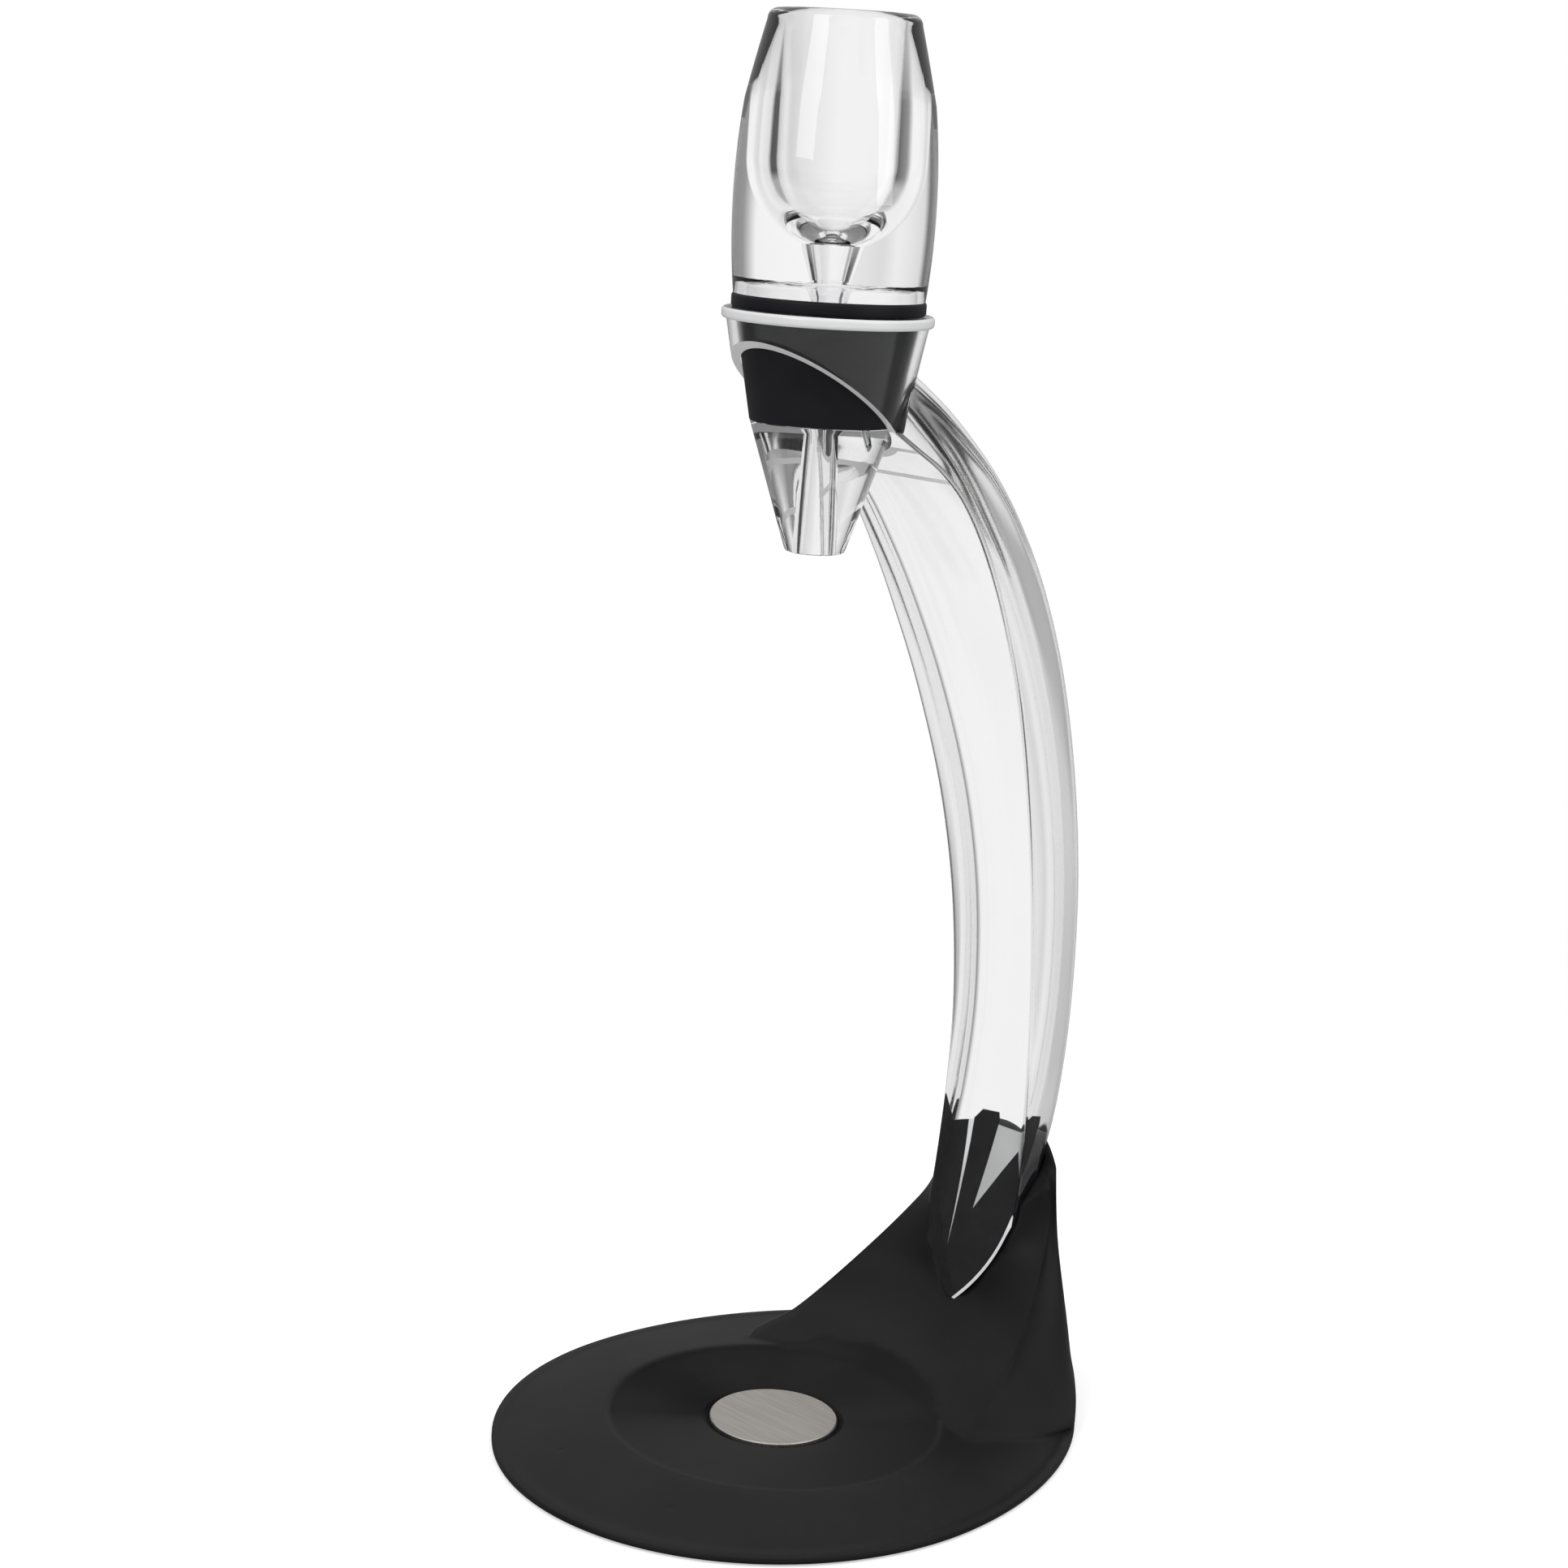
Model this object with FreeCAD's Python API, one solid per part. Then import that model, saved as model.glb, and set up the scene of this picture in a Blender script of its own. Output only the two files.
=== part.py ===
import FreeCAD, Part
import math
import os

# Wine aerator resting in the ring of a clear curved arm, on a weighted black foot.
# Millimetres, +Z up, the arm at the rear (+Y). The origin lies on the table,
# under the centre of the steel disc.

# How far behind the disc's centre the arm's front reaches
ARM_REACH_Y = 89.5

# Foot
FOOT_HALF_WIDTH = 83.0
FOOT_FRONT = FOOT_HALF_WIDTH + 6.6
FOOT_REAR = ARM_REACH_Y + 20.5
# Fullness of the rear outline's curves: about 0.55 would make it an ellipse
FOOT_REAR_FULLNESS = 0.525
PAD_STAND_OFF = 0.8
RIM_HEIGHT = 1.5
FOOT_CROWN_RADIUS = FOOT_HALF_WIDTH - 30.0
RECESS_RADIUS = FOOT_CROWN_RADIUS - 2.5
RECESS_FLOOR_Z = 6.0
RECESS_STEP = 1.2

# Steel disc in the glass recess
DISC_RADIUS = 19.8
DISC_THICKNESS = 1.3
DISC_GROOVE = 2.2
DISC_SEAT_DEPTH = 1.0
DISC_CHAMFER = 0.3

# Cover, weight, screws and rubber feet under the foot
COVER_THICKNESS = 1.2
COVER_BORDER = 3.0
COVER_GAP = 0.15
BALLAST_RADIUS = FOOT_CROWN_RADIUS + 5.0
BALLAST_THICKNESS = 2.0
BALLAST_GAP = 0.1
SCREW_SHANK_RADIUS = 1.25
SCREW_HEAD_RADIUS = 2.4
SCREW_LENGTH = 3.3
SCREW_GAP = 0.05
SLOT_WIDTH = 0.5
SLOT_LENGTH = 2.6
SLOT_DEPTH = 0.7
SCREW_FRONT = (24.0, 24.5 - FOOT_FRONT)
SCREW_REAR = (30.0, FOOT_REAR - 26.0)
BOSS_RADIUS = 3.6
PAD_RADIUS = 5.5
PAD_POCKET_DEPTH = 0.5
PAD_CHAMFER = 0.4
PAD_FRONT = (FOOT_HALF_WIDTH - 35.0, 34.5 - FOOT_FRONT)
PAD_REAR = (FOOT_HALF_WIDTH - 39.0, FOOT_REAR - 40.0)

# Neck: height, how far the scoop at the middle lies ahead of the neck's rear, half-width of
# the crests, how far they lie ahead, half-width at the back, widening between both
NECK_STATIONS = (
    (3.0, 95.6, 44.0, 79.6, 50.0, 1.2),
    (5.0, 85.6, 47.0, 75.1, 49.0, 1.175),
    (6.8, 76.6, 49.5, 71.1, 46.0, 1.13),
    (10.0, 66.6, 47.3, 65.1, 42.2, 1.11),
    (18.0, 47.6, 42.3, 50.4, 37.6, 1.075),
    (27.0, 29.4, 38.4, 38.7, 34.2, 1.045),
    (36.0, 26.6, 34.2, 29.1, 30.4, 1.03),
    (45.0, 26.2, 30.0, 20.9, 26.7, 1.01),
    (54.0, 29.6, 26.5, 14.2, 23.6, 1.0),
    (64.0, 30.1, 24.4, 12.6, 21.7, 1.0),
    (74.0, 30.4, 23.0, 12.6, 20.5, 1.0),
    (84.0, 30.6, 21.8, 12.6, 19.4, 1.0),
)
NECK_REAR_Y = FOOT_REAR - 0.4
NECK_REAR_RISE = 0.36
NECK_SIDE_EASE = 0.03
NECK_WALL = 3.2
NECK_HOLLOW_TOP_Z = 19.0
NECK_RIB = 2.4
NECK_TOP_Y = ARM_REACH_Y - 3.0
NECK_TOP_Z = 58.0
NECK_TOP_SLOPE = 1.05

# Clear arm: the front face follows one arc, seen from the side
ARM_REACH_Z = 106.0
ARM_ARC_RADIUS = 336.0
ARM_ARC_Y = ARM_REACH_Y - ARM_ARC_RADIUS
# Height on that arc, half-width, thickness
ARM_STATIONS = (
    (21.3, 18.2, 5.0),
    (41.9, 18.2, 8.6),
    (59.2, 18.2, 12.6),
    (76.7, 18.1, 17.2),
    (95.4, 17.8, 21.6),
    (123.6, 17.3, 25.2),
    (158.6, 17.8, 27.4),
    (193.0, 19.4, 27.6),
    (226.4, 22.0, 26.4),
    (253.3, 24.0, 24.4),
    (274.0, 25.0, 21.8),
)
# Root in the ring: front y and z, rear y and z, half-width
ARM_ROOT_STATIONS = (
    (33.3, 290.5, 51.0, 300.0, 25.0),
    (22.5, 301.0, 38.5, 312.0, 24.7),
    (10.5, 308.8, 26.5, 322.0, 24.0),
    (-1.5, 317.0, 14.5, 331.0, 22.0),
)
ARM_FRONT_ROUND = 1.4
ARM_REAR_ROUND = 9.0
ARM_POCKET_GAP = 0.25
ARM_POCKET_WINDOW = 12.0
# Pointed foot of the arm: half-width and height at the shoulder, on the way and at the tip
TONGUE_SHOULDER = (19.2, 60.0)
TONGUE_MIDDLE = (13.6, 42.5)
TONGUE_TIP_HALF = 1.6
TONGUE_TIP_Z = 25.6

# Aerator, measured along its own axis
AXIS_Y = -4.5
BAND_SEAT_Z = 346.4
BAND_LIP_RADIUS = 27.8
BAND_LIP_HEIGHT = 4.0
BAND_LIP_ROUND = 0.9
BAND_TOP_RADIUS = 26.7
BAND_LENGTH = 31.4
BAND_FOOT_RADIUS = 20.9
BAND_WALL = 2.2
BAND_FIT = 0.05

RING_FLANGE_RADIUS = 30.4
RING_FLANGE_HEIGHT = 3.2
RING_WALL = 2.5
RING_FIT = 0.3
RING_FLANGE_ROUND = 1.1
RING_CUT_Z = 316.0
RING_CUT_SLOPE = 0.68
RING_BLANK_SPARE = 8.0

BOWL_HEIGHT = 78.6
BOWL_BASE_RADIUS = 27.4
BOWL_BELLY_RADIUS = 28.8
BOWL_BELLY_HEIGHT = 25.6
BOWL_SHOULDER_RADIUS = 26.9
BOWL_SHOULDER_HEIGHT = 54.0
BOWL_NECK_RADIUS = 24.6
BOWL_NECK_HEIGHT = 64.0
BOWL_RIM_RADIUS = 21.7
BOWL_RIM_ROUND = 3.0
CUP_RADIUS = 17.2
CUP_LIP_ROUND = 0.9
CUP_FLOOR_HEIGHT = 37.7
CUP_FLOOR_DEPTH = 24.0
THROAT_TOP_RADIUS = 6.0
THROAT_END_HEIGHT = 1.6
NOZZLE_BORE_RADIUS = 3.0
NOZZLE_RADIUS = 5.2
NOZZLE_ROOT_RADIUS = 6.8
NOZZLE_REACH = 5.0
SKIRT_RADIUS = 24.6
SKIRT_HEIGHT = 5.0

SPOUT_TIP_Z = 277.4
SPOUT_TIP_RADIUS = 8.9
SPOUT_TIP_ROUND = 1.2
SPOUT_SHOULDER = 0.1
SPOUT_STEP = 0.15
OUTLET_RADIUS = 4.4
OUTLET_TOP_RADIUS = 3.3
OUTLET_TOP_Z = 314.0
CHAMBER_RADIUS = 7.4
CHAMBER_FLOOR_Z = 322.0
CHAMBER_HEIGHT = 21.5
CHAMBER_ROOF_FALL = 2.0
NOZZLE_FIT = 0.1
SEAL_CORD = 1.76
SEAL_GROOVE = 1.8
SEAL_GROOVE_HEIGHT = 2.2
SEAL_DEPTH = 1.2
AIR_HOLE_RADIUS = 1.1
AIR_HOLE_Z = 307.0
AIR_HOLE_RISE = 19.0
AIR_HOLE_RUN = 13.0
AIR_HOLE_OVERRUN = 1.15

BIG = 400.0
# How far the middle of a quarter round stays off its corner, for a radius of 1
QUARTER_BEND = 1.0 - math.sqrt(0.5)

# Heights that follow from the sizes above
RIM_Z = PAD_STAND_OFF + RIM_HEIGHT
CROWN_Z = RECESS_FLOOR_Z + RECESS_STEP
COVER_TOP_Z = PAD_STAND_OFF + COVER_THICKNESS
BALLAST_TOP_Z = COVER_TOP_Z + BALLAST_THICKNESS
DISC_SEAT_Z = RECESS_FLOOR_Z - DISC_SEAT_DEPTH
BOWL_Z = BAND_SEAT_Z + BAND_LIP_HEIGHT
BAND_FOOT_Z = BAND_SEAT_Z - BAND_LENGTH
BAND_TAPER = (BAND_TOP_RADIUS - BAND_FOOT_RADIUS) / BAND_LENGTH
CHAMBER_TOP_Z = CHAMBER_FLOOR_Z + CHAMBER_HEIGHT
NOZZLE_TIP_Z = BOWL_Z - NOZZLE_REACH


def vec(x, y, z):
    return FreeCAD.Vector(x, y, z)


def line(a, b):
    return Part.LineSegment(a, b).toShape()


def arc(a, b, c):
    return Part.Arc(a, b, c).toShape()


def smooth(points):
    """Smooth curve through points, which share the curve's run evenly."""
    curve = Part.BSplineCurve()
    steps = [i / (len(points) - 1.0) for i in range(len(points))]
    curve.interpolate(Points=points, Parameters=steps)
    return curve.toShape()


def save(name, shape):
    os.makedirs("parts", exist_ok=True)
    shape.exportStep("parts/" + name + ".step")
    print(name, shape.isValid(), round(shape.Volume, 1))


def tube_z(radius, bottom, top, x=0.0, y=0.0):
    return Part.makeCylinder(radius, top - bottom, vec(x, y, bottom))


def prism(edges, height):
    """A flat closed outline drawn at its bottom height, raised by height."""
    return Part.Face(Part.Wire(edges)).extrude(vec(0, 0, height))


def turned(edges):
    """An outline drawn in the XZ plane, turned round the aerator's axis."""
    solid = Part.Face(Part.Wire(edges)).revolve(vec(0, 0, 0), vec(0, 0, 1), 360)
    solid.translate(vec(0, AXIS_Y, 0))
    return solid


def chain(points):
    """Straight edges from point to point, given as radius and height."""
    return [line(vec(a[0], 0, a[1]), vec(b[0], 0, b[1])) for a, b in zip(points, points[1:])]


# Foot


def foot_outline(z, inset=0.0):
    """Egg outline: half an ellipse in front and a longer, leaner curve behind."""
    side = FOOT_HALF_WIDTH - inset
    front = FOOT_FRONT - inset
    rear = FOOT_REAR - inset
    ellipse = Part.Ellipse(vec(0, front, z), vec(-side, 0, z), vec(0, 0, z))
    edges = [Part.ArcOfEllipse(ellipse, 0.5 * math.pi, 1.5 * math.pi).toShape()]
    for way in (1, -1):
        pull_side = vec(way * side, FOOT_REAR_FULLNESS * rear, z)
        pull_rear = vec(way * FOOT_REAR_FULLNESS * side, rear, z)
        poles = [vec(way * side, 0, z), pull_side, pull_rear, vec(0, rear, z)]
        curve = Part.BezierCurve()
        curve.setPoles(poles[::way])
        edges.append(curve.toShape())
    return edges


def foot_body():
    rim = prism(foot_outline(PAD_STAND_OFF), RIM_HEIGHT)
    crown = Part.Circle(vec(0, 0, CROWN_Z), vec(0, 0, 1), FOOT_CROWN_RADIUS)
    turns = (math.pi, 2.0 * math.pi, 2.5 * math.pi, 3.0 * math.pi)
    arcs = [Part.ArcOfCircle(crown, a, b).toShape() for a, b in zip(turns, turns[1:])]
    slope = Part.makeLoft([Part.Wire(foot_outline(RIM_Z)), Part.Wire(arcs)], True, True)
    return rim.fuse(slope).removeSplitter()


def neck_section(station, inset=0.0):
    """Level section of the neck: scooped front between the crests, rounded back."""
    z, scoop_run, crest_x, crest_run, back_half, flare = station
    x = crest_x - inset
    y = NECK_REAR_Y - crest_run + inset
    front = NECK_REAR_Y - scoop_run + inset
    rear = NECK_REAR_Y - inset
    back_x = back_half - inset
    back_y = rear - NECK_REAR_RISE * back_x
    side_x = 0.5 * (x + back_x) * flare + NECK_SIDE_EASE * x
    side_y = 0.5 * (y + back_y)
    right = [vec(x, y, z), vec(side_x, side_y, z), vec(back_x, back_y, z)]
    left = [vec(-p.x, p.y, z) for p in reversed(right)]
    back = smooth(right + [vec(0, rear, z)] + left)
    scoop = smooth([vec(-x, y, z), vec(0, front, z), vec(x, y, z)])
    return Part.Wire([back, scoop])


def neck_solid(inset=0.0):
    return Part.makeLoft([neck_section(s, inset) for s in NECK_STATIONS], True, False)


def level_block(z_low, z_high):
    return Part.makeBox(2.0 * BIG, 2.0 * BIG, z_high - z_low, vec(-BIG, -BIG, z_low))


def screw_places():
    places = []
    for x, y in (SCREW_FRONT, SCREW_REAR):
        places += [(x, y), (-x, y)]
    return places


def pad_places():
    places = [(0.0, 0.0)]
    for x, y in (PAD_FRONT, PAD_REAR):
        places += [(x, y), (-x, y)]
    return places


def neck_hollow():
    """Space inside the neck, open to the cover, with two screw bosses and a rib."""
    hollow = neck_solid(NECK_WALL)
    hollow.translate(vec(0, 0, -NECK_WALL))
    hollow = hollow.common(level_block(COVER_TOP_Z, NECK_HOLLOW_TOP_Z))
    hollow = hollow.cut(tube_z(RECESS_RADIUS + NECK_WALL, 0, BIG))
    for x in (SCREW_REAR[0], -SCREW_REAR[0]):
        hollow = hollow.cut(tube_z(BOSS_RADIUS, COVER_TOP_Z, BIG, x, SCREW_REAR[1]))
    rib = Part.makeBox(NECK_RIB, BIG, BIG, vec(-0.5 * NECK_RIB, 0, COVER_TOP_Z))
    return hollow.cut(rib)


def neck_top_cut():
    """All that lies above the sloping mouth of the neck."""
    rise = BIG * NECK_TOP_SLOPE
    low = vec(0, NECK_TOP_Y - BIG, NECK_TOP_Z - rise)
    high = vec(0, NECK_TOP_Y + BIG, NECK_TOP_Z + rise)
    corner = vec(0, NECK_TOP_Y - BIG, NECK_TOP_Z + rise)
    face = Part.Face(Part.Wire([line(low, high), line(high, corner), line(corner, low)]))
    face.translate(vec(-BIG, 0, 0))
    return face.extrude(vec(2.0 * BIG, 0, 0))


def base_shell():
    outline = prism(foot_outline(PAD_STAND_OFF), BIG)
    neck = neck_solid().common(outline).cut(neck_top_cut())
    body = foot_body().fuse(neck)
    body = body.cut(tube_z(RECESS_RADIUS, RECESS_FLOOR_Z, BIG))
    body = body.cut(tube_z(DISC_RADIUS + DISC_GROOVE, DISC_SEAT_Z, BIG))
    body = body.cut(prism(foot_outline(PAD_STAND_OFF, COVER_BORDER - COVER_GAP), COVER_THICKNESS))
    body = body.cut(tube_z(BALLAST_RADIUS + BALLAST_GAP, PAD_STAND_OFF, BALLAST_TOP_Z + BALLAST_GAP))
    body = body.cut(neck_hollow())
    for x, y in screw_places():
        tip = COVER_TOP_Z - COVER_THICKNESS + SCREW_LENGTH + SCREW_GAP
        body = body.cut(tube_z(SCREW_SHANK_RADIUS + SCREW_GAP, COVER_TOP_Z, tip, x, y))
    return body.cut(arm_pocket())


def base_disc():
    disc = tube_z(DISC_RADIUS, DISC_SEAT_Z, DISC_SEAT_Z + DISC_THICKNESS)
    rim = [e for e in disc.Edges if e.BoundBox.ZMin > DISC_SEAT_Z + 0.5 * DISC_THICKNESS]
    return disc.makeChamfer(DISC_CHAMFER, rim)


def ballast_plate():
    return tube_z(BALLAST_RADIUS, COVER_TOP_Z, BALLAST_TOP_Z)


def screw_head(grow=0.0):
    return Part.makeCone(SCREW_HEAD_RADIUS + grow, SCREW_SHANK_RADIUS + grow, COVER_THICKNESS,
                         vec(0, 0, PAD_STAND_OFF))


def bottom_cover():
    cover = prism(foot_outline(PAD_STAND_OFF, COVER_BORDER), COVER_THICKNESS)
    for x, y in screw_places():
        hole = screw_head(SCREW_GAP)
        hole.translate(vec(x, y, 0))
        cover = cover.cut(hole)
    pocket_top = PAD_STAND_OFF + PAD_POCKET_DEPTH
    for x, y in pad_places():
        cover = cover.cut(tube_z(PAD_RADIUS + SCREW_GAP, PAD_STAND_OFF, pocket_top, x, y))
    return cover


def cover_screw():
    shank = tube_z(SCREW_SHANK_RADIUS, PAD_STAND_OFF, PAD_STAND_OFF + SCREW_LENGTH)
    screw = screw_head().fuse(shank).removeSplitter()
    for turn in (45, 135):
        corner = vec(-0.5 * SLOT_WIDTH, -0.5 * SLOT_LENGTH, PAD_STAND_OFF)
        slot = Part.makeBox(SLOT_WIDTH, SLOT_LENGTH, SLOT_DEPTH, corner)
        slot.rotate(vec(0, 0, 0), vec(0, 0, 1), turn)
        screw = screw.cut(slot)
    return screw


def foot_pad():
    pad = tube_z(PAD_RADIUS, 0, PAD_STAND_OFF + PAD_POCKET_DEPTH)
    edge = [e for e in pad.Edges if e.BoundBox.ZMax < 0.5 * PAD_STAND_OFF]
    return pad.makeChamfer(PAD_CHAMFER, edge)


# Clear arm and ring


def arm_section(front, rear, half, grow=0.0, ahead=0.0):
    """Section with a flat front and a rounded back, between two points of the side view."""
    across = rear - front
    depth = across.Length
    out = across.normalize()
    side = vec(1, 0, 0)
    half = half + grow
    start = -grow - ahead
    end = depth + grow
    soft = min(ARM_FRONT_ROUND, 0.25 * depth)
    back = min(ARM_REAR_ROUND, 0.5 * depth)

    def at(u, v):
        return front + out * u + side * v

    def corner(u, v, radius, u_way, v_way):
        """Points where a rounded corner at (u, v) begins, bends most and ends."""
        bend = QUARTER_BEND * radius
        begin = at(u, v + v_way * radius)
        middle = at(u + u_way * bend, v + v_way * bend)
        finish = at(u + u_way * radius, v)
        return begin, middle, finish

    front_right = corner(start, half, soft, 1, -1)
    rear_right = corner(end, half, back, -1, -1)[::-1]
    rear_left = corner(end, -half, back, -1, 1)
    front_left = corner(start, -half, soft, 1, 1)[::-1]
    corners = [front_right, rear_right, rear_left, front_left]
    edges = []
    for here, after in zip(corners, corners[1:] + corners[:1]):
        edges.append(arc(*here))
        edges.append(line(here[2], after[0]))
    return Part.Wire(edges)


def on_arc(height, extra=0.0):
    """Point of the front arc at that height, or that far behind it."""
    turn = math.asin((height - ARM_REACH_Z) / ARM_ARC_RADIUS)
    reach = ARM_ARC_RADIUS + extra
    return vec(0, ARM_ARC_Y + reach * math.cos(turn), ARM_REACH_Z + reach * math.sin(turn))


def arm_blank(grow=0.0, ahead=0.0):
    wires = []
    for height, half, thick in ARM_STATIONS:
        wires.append(arm_section(on_arc(height), on_arc(height, thick), half, grow, ahead))
    for front_y, front_z, rear_y, rear_z, half in ARM_ROOT_STATIONS:
        wires.append(arm_section(vec(0, front_y, front_z), vec(0, rear_y, rear_z), half, grow, ahead))
    return Part.makeLoft(wires, True, False)


def tongue_prism(grow=0.0):
    """The pointed outline of the arm's foot, drawn from the front and carried through."""
    x1 = TONGUE_SHOULDER[0] + grow
    x2 = TONGUE_MIDDLE[0] + grow
    x3 = TONGUE_TIP_HALF + 0.5 * grow
    z1 = TONGUE_SHOULDER[1]
    z2 = TONGUE_MIDDLE[1]
    z3 = TONGUE_TIP_Z - grow
    right = arc(vec(x1, 0, z1), vec(x2, 0, z2), vec(x3, 0, z3))
    left = arc(vec(-x3, 0, z3), vec(-x2, 0, z2), vec(-x1, 0, z1))
    tip = line(vec(x3, 0, z3), vec(-x3, 0, z3))
    left_side = line(vec(-x1, 0, z1), vec(-x1, 0, BIG))
    top = line(vec(-x1, 0, BIG), vec(x1, 0, BIG))
    right_side = line(vec(x1, 0, BIG), vec(x1, 0, z1))
    edges = [right, tip, left, left_side, top, right_side]
    return Part.Face(Part.Wire(edges)).extrude(vec(0, BIG, 0))


def pointed(blank, grow=0.0):
    """The blank with its foot cut to the tongue's outline below the shoulder."""
    shoulder = TONGUE_SHOULDER[1]
    low = blank.common(level_block(0, shoulder)).common(tongue_prism(grow))
    return blank.cut(level_block(-BIG, shoulder)).fuse(low).removeSplitter()


def arm_pocket():
    """Room for the arm's foot, open in front of the arm's face."""
    return pointed(arm_blank(ARM_POCKET_GAP, ARM_POCKET_WINDOW), ARM_POCKET_GAP)


def ring_inner(z):
    return BAND_TOP_RADIUS + RING_FIT - BAND_TAPER * (BAND_SEAT_Z - z)


def ring_body():
    low = RING_CUT_Z - RING_CUT_SLOPE * RING_FLANGE_RADIUS - RING_BLANK_SPARE
    flange_z = BAND_SEAT_Z - RING_FLANGE_HEIGHT
    points = [
        (0, low), (ring_inner(low) + RING_WALL, low), (ring_inner(flange_z) + RING_WALL, flange_z),
        (RING_FLANGE_RADIUS, flange_z), (RING_FLANGE_RADIUS, BAND_SEAT_Z), (0, BAND_SEAT_Z), (0, low)]
    body = turned(chain(points))
    rims = [e for e in body.Edges if abs(e.BoundBox.XMax - RING_FLANGE_RADIUS) < 0.01
            and e.BoundBox.ZLength < 0.01]
    return body.makeFillet(RING_FLANGE_ROUND, rims)


def below_ring_cut():
    """All that lies below the sloping lower edge of the ring."""
    front = vec(0, -BIG, RING_CUT_Z + RING_CUT_SLOPE * BIG)
    rear = vec(0, BIG, RING_CUT_Z - RING_CUT_SLOPE * BIG)
    corner = vec(0, -BIG, RING_CUT_Z - RING_CUT_SLOPE * BIG)
    face = Part.Face(Part.Wire([line(front, rear), line(rear, corner), line(corner, front)]))
    face.translate(vec(-BIG, 0, 0))
    return face.extrude(vec(2.0 * BIG, 0, 0))


def ring_hole():
    low = RING_CUT_Z - RING_CUT_SLOPE * RING_FLANGE_RADIUS - 2.0 * RING_BLANK_SPARE
    high = BAND_SEAT_Z + RING_WALL
    points = [(0, low), (ring_inner(low), low), (ring_inner(high), high), (0, high), (0, low)]
    return turned(chain(points))


def stand_arm():
    ring = ring_body().cut(below_ring_cut())
    return pointed(arm_blank()).fuse(ring).cut(ring_hole())


# Aerator


def aerator_bowl():
    z = BOWL_Z
    top = z + BOWL_HEIGHT
    rim = BOWL_RIM_ROUND
    skirt = z + SKIRT_HEIGHT
    k = QUARTER_BEND
    floor_z = z + CUP_FLOOR_HEIGHT
    slide = CUP_LIP_ROUND
    lip_z = top - slide
    belly = vec(BOWL_BELLY_RADIUS, 0, z + BOWL_BELLY_HEIGHT)
    shoulder = vec(BOWL_SHOULDER_RADIUS, 0, z + BOWL_SHOULDER_HEIGHT)
    neck = vec(BOWL_NECK_RADIUS, 0, z + BOWL_NECK_HEIGHT)
    rim_low = vec(BOWL_RIM_RADIUS, 0, top - rim)
    edges = [arc(vec(BOWL_BASE_RADIUS, 0, z), belly, shoulder), arc(shoulder, neck, rim_low)]
    rim_mid = vec(BOWL_RIM_RADIUS - k * rim, 0, top - k * rim)
    rim_top = vec(BOWL_RIM_RADIUS - rim, 0, top)
    edges.append(arc(rim_low, rim_mid, rim_top))
    lip_top = vec(CUP_RADIUS + slide, 0, top)
    lip_mid = vec(CUP_RADIUS + k * slide, 0, top - k * slide)
    lip_low = vec(CUP_RADIUS, 0, lip_z)
    wall_foot = vec(CUP_RADIUS, 0, floor_z)
    edges.append(line(rim_top, lip_top))
    edges.append(arc(lip_top, lip_mid, lip_low))
    edges.append(line(lip_low, wall_foot))
    middle = vec(0, 0, floor_z)
    ellipse = Part.Ellipse(vec(0, 0, floor_z - CUP_FLOOR_DEPTH), wall_foot, middle)
    turn = math.asin(THROAT_TOP_RADIUS / CUP_RADIUS)
    throat_z = floor_z - CUP_FLOOR_DEPTH * math.cos(turn)
    edges.append(Part.ArcOfEllipse(ellipse, turn, 0.5 * math.pi).toShape())
    edges += chain([
        (THROAT_TOP_RADIUS, throat_z), (NOZZLE_BORE_RADIUS, z + THROAT_END_HEIGHT),
        (NOZZLE_BORE_RADIUS, NOZZLE_TIP_Z), (NOZZLE_RADIUS, NOZZLE_TIP_Z), (NOZZLE_RADIUS, z),
        (NOZZLE_ROOT_RADIUS, skirt), (SKIRT_RADIUS, skirt), (SKIRT_RADIUS, z), (BOWL_BASE_RADIUS, z)])
    return turned(Part.__sortEdges__(edges))


def grip_band():
    z = BAND_SEAT_Z
    top = BOWL_Z
    foot_inner = BAND_FOOT_RADIUS - BAND_WALL
    top_inner = BAND_TOP_RADIUS - BAND_WALL
    body = turned(chain([
        (foot_inner, BAND_FOOT_Z), (BAND_FOOT_RADIUS, BAND_FOOT_Z), (BAND_TOP_RADIUS, z),
        (BAND_LIP_RADIUS, z), (BAND_LIP_RADIUS, top), (top_inner, top), (top_inner, z),
        (foot_inner, BAND_FOOT_Z)]))
    lip = [e for e in body.Edges if abs(e.BoundBox.XMax - BAND_LIP_RADIUS) < 0.01
           and e.BoundBox.ZLength < 0.01]
    return body.makeFillet(BAND_LIP_ROUND, lip)


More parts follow.
